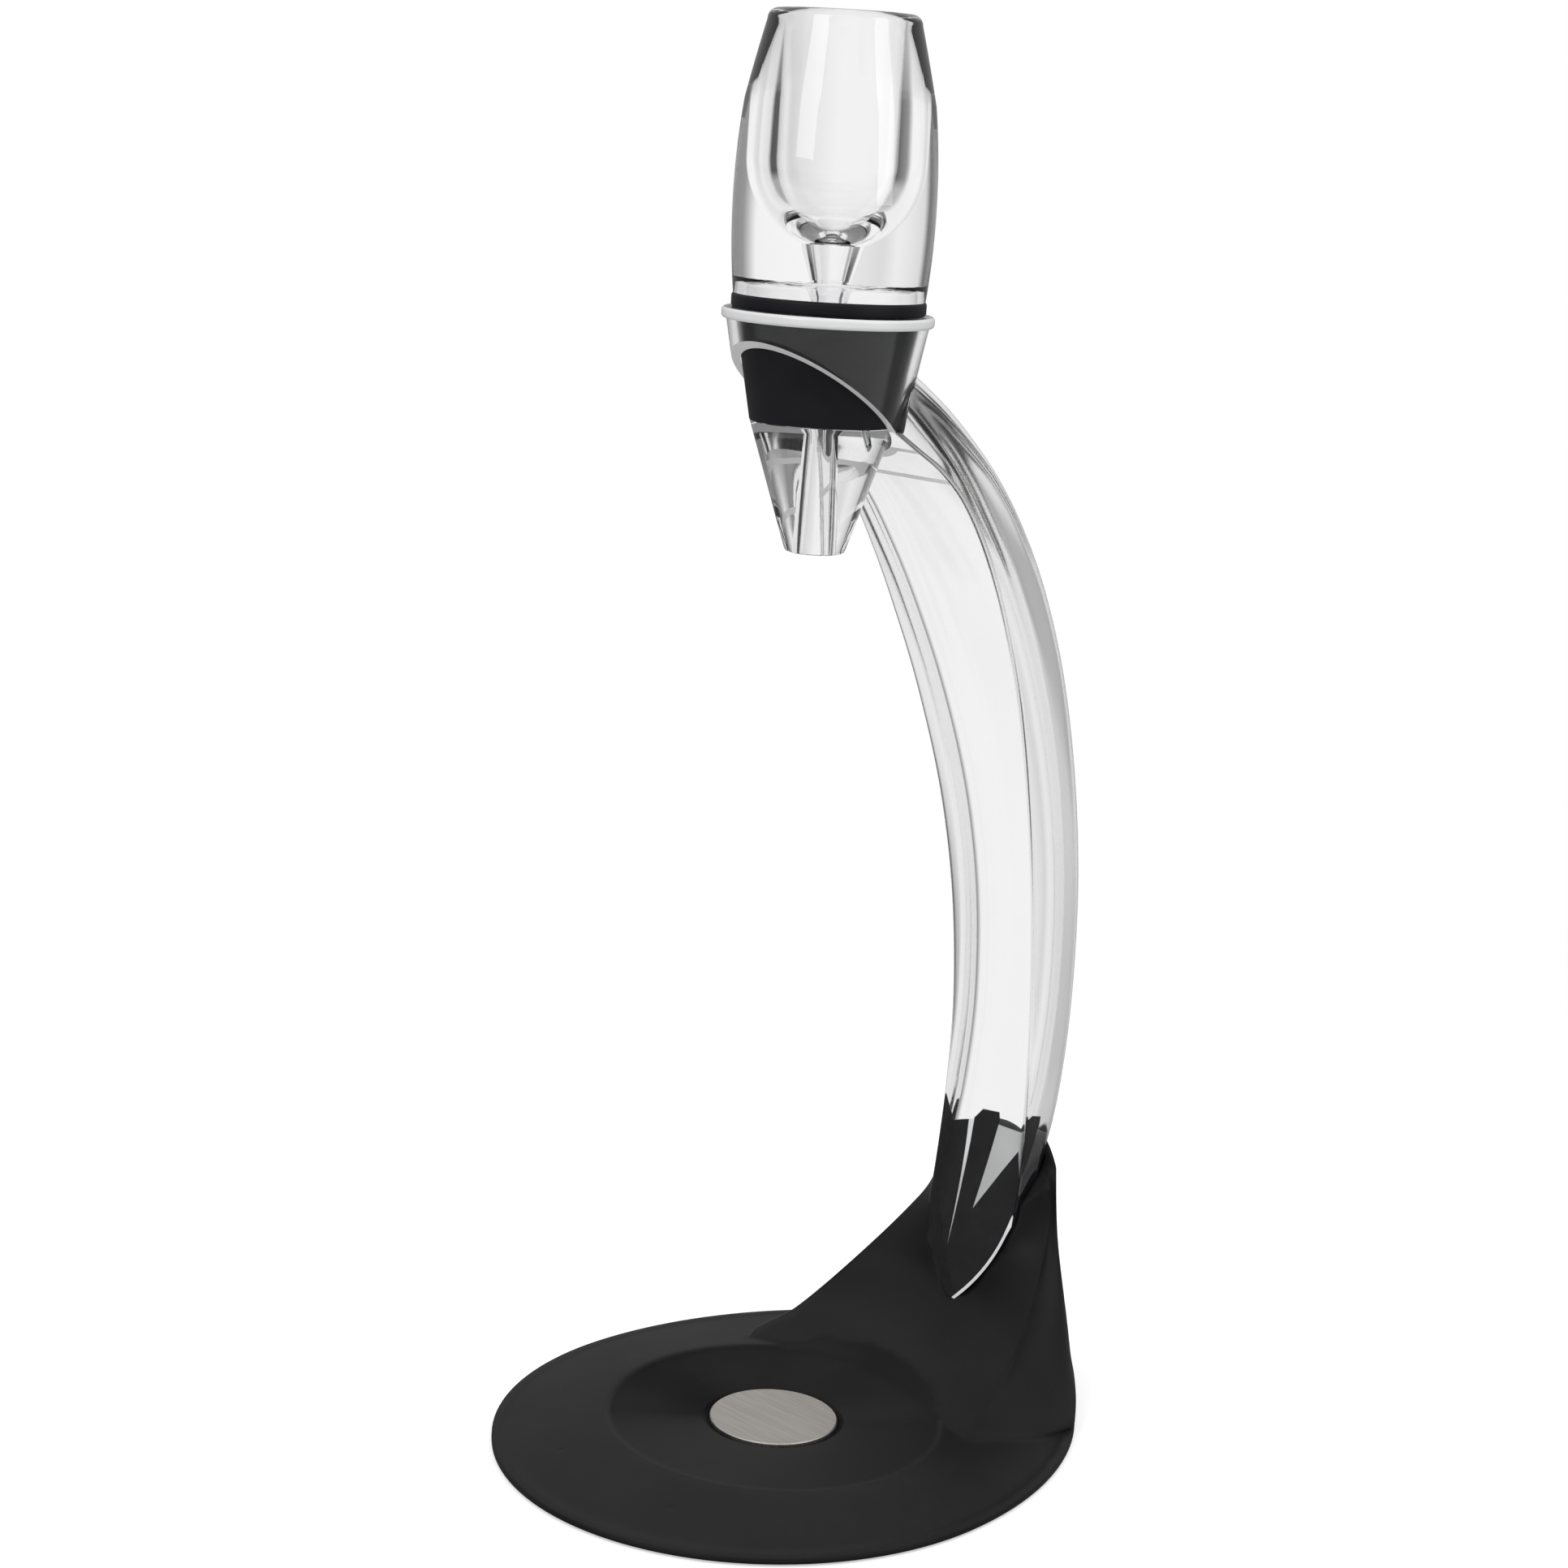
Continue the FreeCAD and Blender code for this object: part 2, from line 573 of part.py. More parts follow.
def aerator_spout():
    inner = BAND_WALL + BAND_FIT
    foot = BAND_FOOT_Z - SPOUT_STEP
    top = BOWL_Z
    tip = SPOUT_TIP_Z
    seal_top = top - SEAL_DEPTH
    socket = NOZZLE_RADIUS + NOZZLE_FIT
    groove = NOZZLE_RADIUS + SEAL_GROOVE
    groove_floor = seal_top - SEAL_GROOVE_HEIGHT
    outside = [
        (SPOUT_TIP_RADIUS, tip), (BAND_FOOT_RADIUS - SPOUT_SHOULDER, foot),
        (BAND_FOOT_RADIUS - inner, foot), (BAND_TOP_RADIUS - inner, BAND_SEAT_Z),
        (BAND_TOP_RADIUS - inner, top)]
    inside = [
        (socket, top), (socket, seal_top), (groove, seal_top), (groove, groove_floor),
        (socket, groove_floor), (socket, CHAMBER_TOP_Z),
        (CHAMBER_RADIUS, CHAMBER_TOP_Z - CHAMBER_ROOF_FALL), (CHAMBER_RADIUS, CHAMBER_FLOOR_Z),
        (OUTLET_TOP_RADIUS, OUTLET_TOP_Z), (OUTLET_RADIUS, tip), (SPOUT_TIP_RADIUS, tip)]
    body = turned(chain(outside + inside))
    tips = [e for e in body.Edges if e.BoundBox.ZMax < tip + 0.01]
    body = body.makeFillet(SPOUT_TIP_ROUND, tips)
    for side in (1, -1):
        start = vec(side * BAND_FOOT_RADIUS, AXIS_Y, AIR_HOLE_Z)
        way = vec(-side * AIR_HOLE_RUN, 0, AIR_HOLE_RISE)
        reach = way.Length * AIR_HOLE_OVERRUN
        body = body.cut(Part.makeCylinder(AIR_HOLE_RADIUS, reach, start, way))
    return body


def bowl_seal():
    middle = NOZZLE_RADIUS + 0.5 * SEAL_GROOVE
    z = BOWL_Z - SEAL_DEPTH - 0.5 * SEAL_GROOVE_HEIGHT
    return Part.makeTorus(middle, 0.5 * SEAL_CORD, vec(0, AXIS_Y, z), vec(0, 0, 1))


save("aerator_bowl", aerator_bowl())
save("aerator_spout", aerator_spout())
save("grip_band", grip_band())
save("bowl_seal", bowl_seal())
save("stand_arm", stand_arm())
save("base_shell", base_shell())
save("base_disc", base_disc())
save("ballast_plate", ballast_plate())
save("bottom_cover", bottom_cover())
for number, place in enumerate(screw_places(), 1):
    screw = cover_screw()
    screw.translate(vec(place[0], place[1], 0))
    save("cover_screw_%d" % number, screw)
for number, place in enumerate(pad_places(), 1):
    pad = foot_pad()
    pad.translate(vec(place[0], place[1], 0))
    save("foot_pad_%d" % number, pad)
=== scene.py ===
import math

import bmesh
import bpy
from mathutils import Matrix, Vector


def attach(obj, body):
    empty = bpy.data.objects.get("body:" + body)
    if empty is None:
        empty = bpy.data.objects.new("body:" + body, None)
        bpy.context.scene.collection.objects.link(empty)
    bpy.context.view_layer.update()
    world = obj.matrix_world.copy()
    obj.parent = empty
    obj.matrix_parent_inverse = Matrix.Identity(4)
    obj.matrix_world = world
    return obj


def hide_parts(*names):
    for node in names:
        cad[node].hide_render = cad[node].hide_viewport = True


# Wine aerator in its stand: a clear bowl and spout with a black grip band, held by the ring
# of a clear curved arm that rises from a black foot. The arm is at +Y. The pieces' sizes are
# in millimetres and become metres when a piece is finished. Materials, floor, lamps and
# camera are in metres.

MM = 0.001
# Points nearer than these are merged: in a piece, on the axis of a turned solid (both in
# millimetres), and in a CAD node (in metres)
MERGE = 0.0005
AXIS_MERGE = 0.001
CAD_MERGE = 0.000005
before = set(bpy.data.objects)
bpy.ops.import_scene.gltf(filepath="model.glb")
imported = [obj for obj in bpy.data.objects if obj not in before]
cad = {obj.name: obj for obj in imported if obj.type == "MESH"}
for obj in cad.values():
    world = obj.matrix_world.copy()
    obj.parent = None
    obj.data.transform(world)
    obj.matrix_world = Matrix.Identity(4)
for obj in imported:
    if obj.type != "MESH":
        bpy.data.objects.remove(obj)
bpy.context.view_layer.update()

# ---------------------------------------------------------------- sizes of the aerator

# The aerator's axis, and the steps of a turn round it
AXIS_Y = -4.5
AROUND = 144

BAND_SEAT_Z = 346.4
BAND_LENGTH = 31.4
BAND_FOOT_Z = BAND_SEAT_Z - BAND_LENGTH
BAND_TOP_RADIUS = 26.7
BAND_FOOT_RADIUS = 20.9
BAND_TAPER = (BAND_TOP_RADIUS - BAND_FOOT_RADIUS) / BAND_LENGTH
BAND_WALL = 2.2
BAND_LIP_RADIUS = 27.8
BAND_LIP_HEIGHT = 4.0
BAND_LIP_ROUND = 0.9

BOWL_Z = BAND_SEAT_Z + BAND_LIP_HEIGHT
BOWL_TOP_Z = BOWL_Z + 78.6
BOWL_RIM_RADIUS = 21.7
BOWL_RIM_ROUND = 3.0
# Radii and heights of the bowl's bellied side and of its shoulder
BOWL_SIDE = ((27.4, BOWL_Z), (28.8, BOWL_Z + 25.6), (26.9, BOWL_Z + 54.0))
BOWL_SHOULDER = (
    BOWL_SIDE[2], (24.6, BOWL_Z + 64.0), (BOWL_RIM_RADIUS, BOWL_TOP_Z - BOWL_RIM_ROUND))
CUP_RADIUS = 17.2
CUP_LIP_ROUND = 0.9
CUP_FLOOR_Z = BOWL_Z + 37.7
CUP_FLOOR_DEPTH = 24.0
CUP_FLOOR_STEPS = 32
THROAT_RADIUS = 6.0
THROAT_END_Z = BOWL_Z + 1.6
NOZZLE_RADIUS = 5.2
NOZZLE_BORE_RADIUS = 3.0
NOZZLE_TIP_Z = BOWL_Z - 5.0
# The recess under the bowl, between its nozzle and its skirt
RECESS_TOP_Z = BOWL_Z + 5.0
RECESS_INNER_RADIUS = 6.8
RECESS_OUTER_RADIUS = 24.6
RECESS_ROUND = 1.6

SPOUT_TIP_Z = 277.4
SPOUT_TIP_RADIUS = 8.9
# How far out and up the points of the tip's rounded edge are from there
SPOUT_TIP_ROUND = ((-1.2, 0.0), (-0.35, 0.3), (0.1, 1.2))
SPOUT_WALL_INSET = BAND_WALL + 0.05
SPOUT_SHOULDER_Z = BAND_FOOT_Z - 0.15
SPOUT_SHOULDER_RADIUS = BAND_FOOT_RADIUS - 0.1
SPOUT_ENTRY_RADIUS = 5.3
SEAL_GROOVE_RADIUS = 7.0
SEAL_GROOVE_Z = (BOWL_Z - 1.2, BOWL_Z - 3.4)
# Radii and heights of the entry's end, the mixing chamber, the waist and the outlet
SPOUT_BORE = (
    (SPOUT_ENTRY_RADIUS, 343.5), (7.4, 341.5), (7.4, 322.0), (3.3, 314.0), (4.4, SPOUT_TIP_Z))
# The slanting air inlets: height at the band's foot radius, rise over run, and reach inwards
INLET_RADIUS = 1.1
INLET_Z = 307.0
INLET_RISE = 19.0
INLET_RUN = 13.0
INLET_START = 1.0
INLET_REACH = 14.8

# ---------------------------------------------------------------- sizes of the arm and its ring

RING_CLEARANCE = 0.3
RING_WALL = 2.5
RING_FLANGE_RADIUS = 30.4
RING_FLANGE_HEIGHT = 3.2
RING_FLANGE_ROUND = 1.1
RING_CUT_Z = 316.0
RING_CUT_SLOPE = 0.68
RING_BLANK_FOOT_Z = 287.0
RING_HOLE_Z = (279.0, BAND_SEAT_Z + 2.5)

ARM_ARC_Y = -246.5
ARM_ARC_Z = 106.0
ARM_ARC_RADIUS = 336.0
# Height on the arc, half-width and thickness, from the foot to the root
ARM_STATIONS = (
    (21.3, 18.12, 4.9), (41.9, 18.12, 8.5), (59.2, 18.12, 12.5), (76.7, 18.02, 17.1),
    (95.4, 17.75, 21.55), (123.6, 17.3, 25.2), (158.6, 17.8, 27.4), (193.0, 19.4, 27.6),
    (226.4, 22.0, 26.4), (253.3, 24.0, 24.4), (274.0, 25.0, 21.8))
# Front y and z, rear y and z, and half-width, where the arm runs into the ring
ARM_ROOT = (
    (33.3, 290.5, 51.0, 300.0, 25.0), (22.5, 301.0, 38.5, 312.0, 24.7),
    (10.5, 308.8, 26.5, 322.0, 24.0), (-1.5, 317.0, 14.5, 331.0, 22.0))
# Largest radii of the section's front and rear corners, and their share of a thin section
ARM_FRONT_ROUND = 1.4
ARM_FRONT_SHARE = 0.25
ARM_REAR_ROUND = 9.0
ARM_REAR_SHARE = 0.5
# Steps from one station to the next, and round a corner and along a flat of the section
ARM_STEPS = 7
ARM_ROUND_STEPS = 9
ARM_FLAT_STEPS = 6

# The pointed foot's right edge as x and height, and the strip of painted highlight along it
FOOT_RIGHT = ((19.2, 60.0), (13.6, 42.5), (1.6, 25.6))
FOOT_EDGE_WIDTH = 1.1
FOOT_EDGE_TOP_Z = 58.0
FOOT_EDGE_MIN_X = 1.0
# The block that the pointed outline is cut from: half-width, top, shoulder height and y range
TONGUE_HALF_WIDTH = 45.0
TONGUE_TOP_Z = 345.0
TONGUE_SHOULDER_Z = 60.5
TONGUE_Y = (-60.0, 160.0)

# Where the black bond ends on the arm's rear face, from left to right: x and height. Its
# jagged top is painted shade.
BOND_SHADE_TOP = (
    (-18.4, 78.0), (-13.4, 79.0), (-9.8, 38.0), (-11.6, 80.0), (-9.0, 83.6), (-2.0, 84.4),
    (-1.2, 82.0), (-3.6, 52.0), (9.0, 75.0), (10.2, 75.0), (10.8, 62.0), (17.0, 78.0),
    (18.4, 82.0))
# The same on the left side and, along the neck's mouth, on the right: y, height and slope
BOND_SHADE_LEFT = (88.5, 93.0, -1.17)
BOND_SHADE_RIGHT = (86.5, 58.0, 1.05)
# Which faces are cut along these lines: rear faces and side faces below a height, rear faces
# from this far below a line's lower end, and front faces this near the foot's right edge
BOND_SHADE_CUT_TOP_Z = 90.0
BOND_SHADE_CUT_SIDE_TOP_Z = 100.0
BOND_SHADE_CUT_BELOW = 4.0
FOOT_EDGE_CUT_REACH = 6.0

# Margins for choosing faces: how far inside the band's foot and below it the spout's wall with
# painted light may begin, which share of the flange's round its rim takes and how far below the
# top, and how near the ring's cut a face has to be
PAINTED_LIGHT_INSIDE = 0.5
PAINTED_LIGHT_BELOW = 0.3
RIM_SHARE = 0.9
RIM_BELOW_TOP = 0.1
RING_CUT_NEAR = 0.05

# ---------------------------------------------------------------- outlines and meshes


def circle_through(a, b, c):
    """Centre and radius of the circle through three points."""
    ax, ay = a
    bx, by = b
    cx, cy = c
    d = 2.0 * (ax * (by - cy) + bx * (cy - ay) + cx * (ay - by))
    square_a, square_b, square_c = ax * ax + ay * ay, bx * bx + by * by, cx * cx + cy * cy
    x = (square_a * (by - cy) + square_b * (cy - ay) + square_c * (ay - by)) / d
    y = (square_a * (cx - bx) + square_b * (ax - cx) + square_c * (bx - ax)) / d
    return x, y, math.hypot(ax - x, ay - y)


def arc_through(a, b, c, count):
    """Points on the circle through a, b and c, from a to c."""
    x, y, radius = circle_through(a, b, c)
    start = math.atan2(a[1] - y, a[0] - x)
    middle = (math.atan2(b[1] - y, b[0] - x) - start) % math.tau
    sweep = (math.atan2(c[1] - y, c[0] - x) - start) % math.tau
    if middle > sweep:
        sweep -= math.tau
    turns = [start + sweep * i / count for i in range(count + 1)]
    return [(x + radius * math.cos(t), y + radius * math.sin(t)) for t in turns]


def quarter(centre, radius, start, count):
    """A quarter round from the start angle in degrees, turning left when count is positive."""
    steps = abs(count)
    side = 1.0 if count > 0 else -1.0
    turns = [math.radians(start + side * 90.0 * i / steps) for i in range(steps + 1)]
    return [(centre[0] + radius * math.cos(t), centre[1] + radius * math.sin(t)) for t in turns]


def turned(outline, closed=True):
    """An outline of (radius, height) points, spun round the aerator's axis."""
    bm = bmesh.new()
    ring = [bm.verts.new((r, 0.0, z)) for r, z in outline]
    pairs = zip(ring, ring[1:] + ring[:1]) if closed else zip(ring, ring[1:])
    edges = [bm.edges.new(pair) for pair in pairs]
    bmesh.ops.spin(bm, geom=ring + edges, axis=(0, 0, 1), cent=(0, 0, 0), angle=math.tau,
                   steps=AROUND, use_merge=True)
    bmesh.ops.translate(bm, vec=(0, AXIS_Y, 0), verts=bm.verts)
    return bm


def turned_solid(outline):
    """The same for an outline that begins and ends on the axis."""
    bm = turned(outline, closed=False)
    bmesh.ops.remove_doubles(bm, verts=bm.verts, dist=AXIS_MERGE)
    return bm


def linked_object(name, bm):
    """An object of the bmesh, which is used up."""
    mesh = bpy.data.meshes.new(name)
    bm.to_mesh(mesh)
    bm.free()
    piece = bpy.data.objects.new(name, mesh)
    bpy.context.scene.collection.objects.link(piece)
    return piece


def plain_object(name, bm):
    """A working object in millimetres, to cut with or to be cut."""
    bmesh.ops.recalc_face_normals(bm, faces=bm.faces)
    return linked_object(name, bm)


def taken_mesh(piece):
    """The bmesh of a working object, which is deleted."""
    bm = bmesh.new()
    bm.from_mesh(piece.data)
    bpy.data.objects.remove(piece)
    return bm


def shaded_piece(name, bm, material, node, smooth):
    """A piece in metres that stands for the CAD node, sharp only above the angle in degrees."""
    piece = linked_object(name, bm)
    piece.data.shade_smooth()
    piece.data.set_sharp_from_angle(angle=math.radians(smooth))
    piece.data.materials.append(material)
    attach(piece, "root")
    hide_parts(node)
    return piece


def finish_mesh(name, bm, material, node, smooth=30.0):
    """Merges a piece made in millimetres, turns it into metres and gives it its place."""
    bmesh.ops.remove_doubles(bm, verts=bm.verts, dist=MERGE)
    bmesh.ops.recalc_face_normals(bm, faces=bm.faces)
    bmesh.ops.scale(bm, vec=(MM, MM, MM), verts=bm.verts)
    return shaded_piece(name, bm, material, node, smooth)


def cut_with(piece, cutter, operation):
    """Applies a boolean with the cutter to the piece's mesh and deletes the cutter."""
    step = piece.modifiers.new("cut", "BOOLEAN")
    step.operation = operation
    step.object = cutter
    step.solver = "EXACT"
    graph = bpy.context.evaluated_depsgraph_get()
    result = bpy.data.meshes.new_from_object(piece.evaluated_get(graph))
    piece.modifiers.clear()
    piece.data = result
    bpy.data.objects.remove(cutter)


# ---------------------------------------------------------------- materials

ACRYLIC_IOR = 1.49
GRAIN_DEPTH = 0.0001
# How far the shading rounds an edge, and a crease of the black foot
EDGE_SOFT = 0.0003
CREASE_SOFT = 0.0018


def grey(level, blue=0.0):
    """A grey, with this much more blue."""
    return level, level, level + blue, 1


def new_group(name, inputs, outputs):
    """A node group with its input and output nodes."""
    group = bpy.data.node_groups.new(name, "ShaderNodeTree")
    for label, kind, value in inputs:
        socket = group.interface.new_socket(name=label, in_out="INPUT", socket_type=kind)
        socket.default_value = value
    for label, kind in outputs:
        group.interface.new_socket(name=label, in_out="OUTPUT", socket_type=kind)
    return group, group.nodes.new("NodeGroupInput"), group.nodes.new("NodeGroupOutput")


def add_math(tree, operation, second=None, third=None):
    """A math node, with constants for its second and third input where they are given."""
    node = tree.nodes.new("ShaderNodeMath")
    node.operation = operation
    for place, value in ((1, second), (2, third)):
        if value is not None:
            node.inputs[place].default_value = value
    return node


def add_range(tree, source, target):
    """A node that maps the source's two values to the target's."""
    node = tree.nodes.new("ShaderNodeMapRange")
    for labels, values in ((("From Min", "From Max"), source), (("To Min", "To Max"), target)):
        for label, value in zip(labels, values):
            node.inputs[label].default_value = value
    return node


def add_ramp(tree, low, high):
    """A colour ramp between two stops, each a place and a colour."""
    ramp = tree.nodes.new("ShaderNodeValToRGB")
    for stop, (place, colour) in zip(ramp.color_ramp.elements, (low, high)):
        stop.position = place
        stop.color = colour
    return ramp


def add_noise(tree, detail):
    """A noise texture in the object's own coordinates."""
    place = tree.nodes.new("ShaderNodeTexCoord")
    noise = tree.nodes.new("ShaderNodeTexNoise")
    noise.inputs["Detail"].default_value = detail
    tree.links.new(place.outputs["Object"], noise.inputs["Vector"])
    return noise


def wear_group():
    """Slow change of roughness from handling, as a spread round the given value."""
    group, given, result = new_group(
        "handling",
        (("Scale", "NodeSocketFloat", 30.0), ("Roughness", "NodeSocketFloat", 0.3),
         ("Spread", "NodeSocketFloat", 0.1)),
        (("Roughness", "NodeSocketFloat"),))
    noise = add_noise(group, 3.0)
    centre = add_math(group, "SUBTRACT", 0.5)
    spread = add_math(group, "MULTIPLY_ADD")
    link = group.links.new
    link(given.outputs["Scale"], noise.inputs["Scale"])
    link(noise.outputs["Fac"], centre.inputs[0])
    link(centre.outputs[0], spread.inputs[0])
    link(given.outputs["Spread"], spread.inputs[1])
    link(given.outputs["Roughness"], spread.inputs[2])
    link(spread.outputs[0], result.inputs["Roughness"])
    return group


def grain_group():
    """Fine moulded grain over softened edges and corners, as a surface normal."""
    group, given, result = new_group(
        "moulded grain",
        (("Scale", "NodeSocketFloat", 900.0), ("Strength", "NodeSocketFloat", 0.1),
         ("Depth", "NodeSocketFloat", GRAIN_DEPTH), ("Edge", "NodeSocketFloat", EDGE_SOFT)),
        (("Normal", "NodeSocketVector"),))
    noise = add_noise(group, 2.0)
    bump = group.nodes.new("ShaderNodeBump")
    soft = group.nodes.new("ShaderNodeBevel")
    soft.samples = 6
    link = group.links.new
    link(given.outputs["Scale"], noise.inputs["Scale"])
    link(noise.outputs["Fac"], bump.inputs["Height"])
    link(given.outputs["Edge"], soft.inputs["Radius"])
    link(soft.outputs["Normal"], bump.inputs["Normal"])
    link(given.outputs["Strength"], bump.inputs["Strength"])
    link(given.outputs["Depth"], bump.inputs["Distance"])
    link(bump.outputs["Normal"], result.inputs["Normal"])
    return group


HANDLING = wear_group()
GRAIN = grain_group()


def new_material(name):
    material = bpy.data.materials.new(name)
    material.use_nodes = True
    shader = material.node_tree.nodes["Principled BSDF"]
    return material, material.node_tree, shader


def add_group(tree, group, **values):
    node = tree.nodes.new("ShaderNodeGroup")
    node.node_tree = group
    for label, value in values.items():
        node.inputs[label].default_value = value
    return node


def add_handling(tree, shader, scale, roughness, spread):
    """Roughness that changes slowly over the piece."""
    node = add_group(tree, HANDLING, Scale=scale, Roughness=roughness, Spread=spread)
    tree.links.new(node.outputs["Roughness"], shader.inputs["Roughness"])


def add_grain(tree, shader, scale, strength, edge=EDGE_SOFT):
    """Moulded grain, over edges rounded by this much."""
    node = add_group(tree, GRAIN, Scale=scale, Strength=strength, Depth=GRAIN_DEPTH, Edge=edge)
    tree.links.new(node.outputs["Normal"], shader.inputs["Normal"])


def two_tones(tree, shader, dark, light, scale):
    """Base colour that drifts softly between two close tones."""
    noise = add_noise(tree, 4.0)
    noise.inputs["Scale"].default_value = scale
    ramp = add_ramp(tree, (0.35, dark), (0.65, light))
    tree.links.new(noise.outputs["Fac"], ramp.inputs["Fac"])
    tree.links.new(ramp.outputs["Color"], shader.inputs["Base Color"])


def clear_acrylic(name, dark, light, roughness):
    """Clear acrylic between two clarities, with a slight bluish tint."""
    material, tree, shader = new_material(name)
    two_tones(tree, shader, grey(dark, 0.004), grey(light, 0.004), scale=24.0)
    shader.inputs["IOR"].default_value = ACRYLIC_IOR
    shader.inputs["Transmission Weight"].default_value = 1.0
    add_handling(tree, shader, scale=40.0, roughness=roughness, spread=roughness)
    return material


def painted_light():
    """Painted light on acrylic: a fine matt face that glows white, for painted highlights."""
    material, tree, shader = new_material("acrylic painted light")
    two_tones(tree, shader, (0.97, 0.975, 0.98, 1), (0.99, 0.992, 0.995, 1), scale=60.0)
    shader.inputs["IOR"].default_value = ACRYLIC_IOR
    shader.inputs["Transmission Weight"].default_value = 0.06
    add_handling(tree, shader, scale=60.0, roughness=0.2, spread=0.1)
    return material


def bond_and_shade():
    """The arm's faces bonded into the black neck, seen through the acrylic: black bond, with
    painted shade in its jagged outline.
    """
    material, tree, shader = new_material("black bond and painted shade")
    two_tones(tree, shader, grey(0.006, 0.002), grey(0.012, 0.004), scale=120.0)
    shader.inputs["Specular IOR Level"].default_value = 0.1
    add_handling(tree, shader, scale=90.0, roughness=0.5, spread=0.1)
    return material


def painted_mirror():
    """Silver on the faces beside the bond: a painted reflection, standing in for the room that air
    behind the acrylic would mirror.
    """
    material, tree, shader = new_material("painted mirror")
    two_tones(tree, shader, (0.93, 0.935, 0.94, 1), (0.98, 0.985, 0.99, 1), scale=90.0)
    shader.inputs["Metallic"].default_value = 1.0
    add_handling(tree, shader, scale=90.0, roughness=0.25, spread=0.1)
    return material


def black_plastic():
    material, tree, shader = new_material("satin black moulding")
    two_tones(tree, shader, grey(0.0085, 0.0008), grey(0.0115, 0.0012), scale=30.0)
    shader.inputs["Specular IOR Level"].default_value = 0.13
    add_handling(tree, shader, scale=36.0, roughness=0.46, spread=0.1)
    add_grain(tree, shader, scale=1500.0, strength=0.12, edge=CREASE_SOFT)
    return material


def black_silicone():
    material, tree, shader = new_material("black silicone")
    two_tones(tree, shader, grey(0.01, 0.0025), grey(0.0135, 0.003), scale=60.0)
    shader.inputs["Specular IOR Level"].default_value = 0.15
    add_handling(tree, shader, scale=50.0, roughness=0.5, spread=0.12)
    add_grain(tree, shader, scale=1800.0, strength=0.1)
    return material


def brushed_disc():
    """Satin steel with straight brushing across the disc."""
    material, tree, shader = new_material("brushed steel disc")
    place = tree.nodes.new("ShaderNodeTexCoord")
    brush = tree.nodes.new("ShaderNodeMapping")
    brush.inputs["Scale"].default_value = (60.0, 2200.0, 60.0)
    brush.inputs["Rotation"].default_value = (0.0, 0.0, math.radians(40.0))
    noise = tree.nodes.new("ShaderNodeTexNoise")
    noise.inputs["Scale"].default_value = 1.0
    noise.inputs["Detail"].default_value = 4.0
    tone = add_ramp(tree, (0.25, (0.38, 0.355, 0.33, 1)), (0.75, (0.55, 0.525, 0.49, 1)))
    rough = add_range(tree, (0.0, 1.0), (0.34, 0.5))
    bump = tree.nodes.new("ShaderNodeBump")
    bump.inputs["Strength"].default_value = 0.12
    bump.inputs["Distance"].default_value = GRAIN_DEPTH
    link = tree.links.new
    link(place.outputs["Object"], brush.inputs["Vector"])
    link(brush.outputs["Vector"], noise.inputs["Vector"])
    link(noise.outputs["Fac"], tone.inputs["Fac"])
    link(noise.outputs["Fac"], rough.inputs["Value"])
    link(noise.outputs["Fac"], bump.inputs["Height"])
    link(tone.outputs["Color"], shader.inputs["Base Color"])
    link(rough.outputs["Result"], shader.inputs["Roughness"])
    link(bump.outputs["Normal"], shader.inputs["Normal"])
    shader.inputs["Metallic"].default_value = 1.0
    return material


def plated_steel():
    material, tree, shader = new_material("zinc plated steel")
    two_tones(tree, shader, grey(0.42, 0.01), grey(0.52, 0.01), scale=300.0)
    shader.inputs["Metallic"].default_value = 1.0
    add_handling(tree, shader, scale=200.0, roughness=0.36, spread=0.12)
    add_grain(tree, shader, scale=2500.0, strength=0.1)
    return material


def pad_rubber():
    material, tree, shader = new_material("matt rubber")
    two_tones(tree, shader, grey(0.025), grey(0.035), scale=90.0)
    add_handling(tree, shader, scale=90.0, roughness=0.75, spread=0.1)
    add_grain(tree, shader, scale=2200.0, strength=0.25)
    return material


def seal_silicone():
    material, tree, shader = new_material("grey seal silicone")
    two_tones(tree, shader, (0.42, 0.43, 0.43, 1), (0.5, 0.51, 0.51, 1), scale=200.0)
    add_handling(tree, shader, scale=120.0, roughness=0.45, spread=0.1)
    return material


ACRYLIC = clear_acrylic("clear acrylic", 0.965, 0.985, 0.012)
ARM_ACRYLIC = clear_acrylic("thick cast acrylic", 0.95, 0.97, 0.08)
# Painted light: a white glowing acrylic face, used for painted highlights and to lighten the spout
PAINTED_LIGHT = painted_light()
# Black bond on the arm's foot, with painted shade in its jagged top
BOND_SHADE = bond_and_shade()
# Painted reflection: silver faces beside the bond
PAINTED_MIRROR = painted_mirror()
PLASTIC = black_plastic()
SILICONE = black_silicone()
DISC = brushed_disc()
PLATED = plated_steel()
RUBBER = pad_rubber()
SEAL = seal_silicone()


def dress(node, material):
    """Gives a CAD node its material."""
    piece = cad[node]
    piece.data.materials.clear()
    piece.data.materials.append(material)


def paint(piece, material, chosen):
    """Gives the material to the faces that are chosen by centre (mm) and normal."""
    slots = piece.data.materials
    if slots.find(material.name) < 0:
        slots.append(material)
    place = slots.find(material.name)
    for face in piece.data.polygons:
        if chosen(face.center / MM, face.normal):
            face.material_index = place


# ---------------------------------------------------------------- aerator


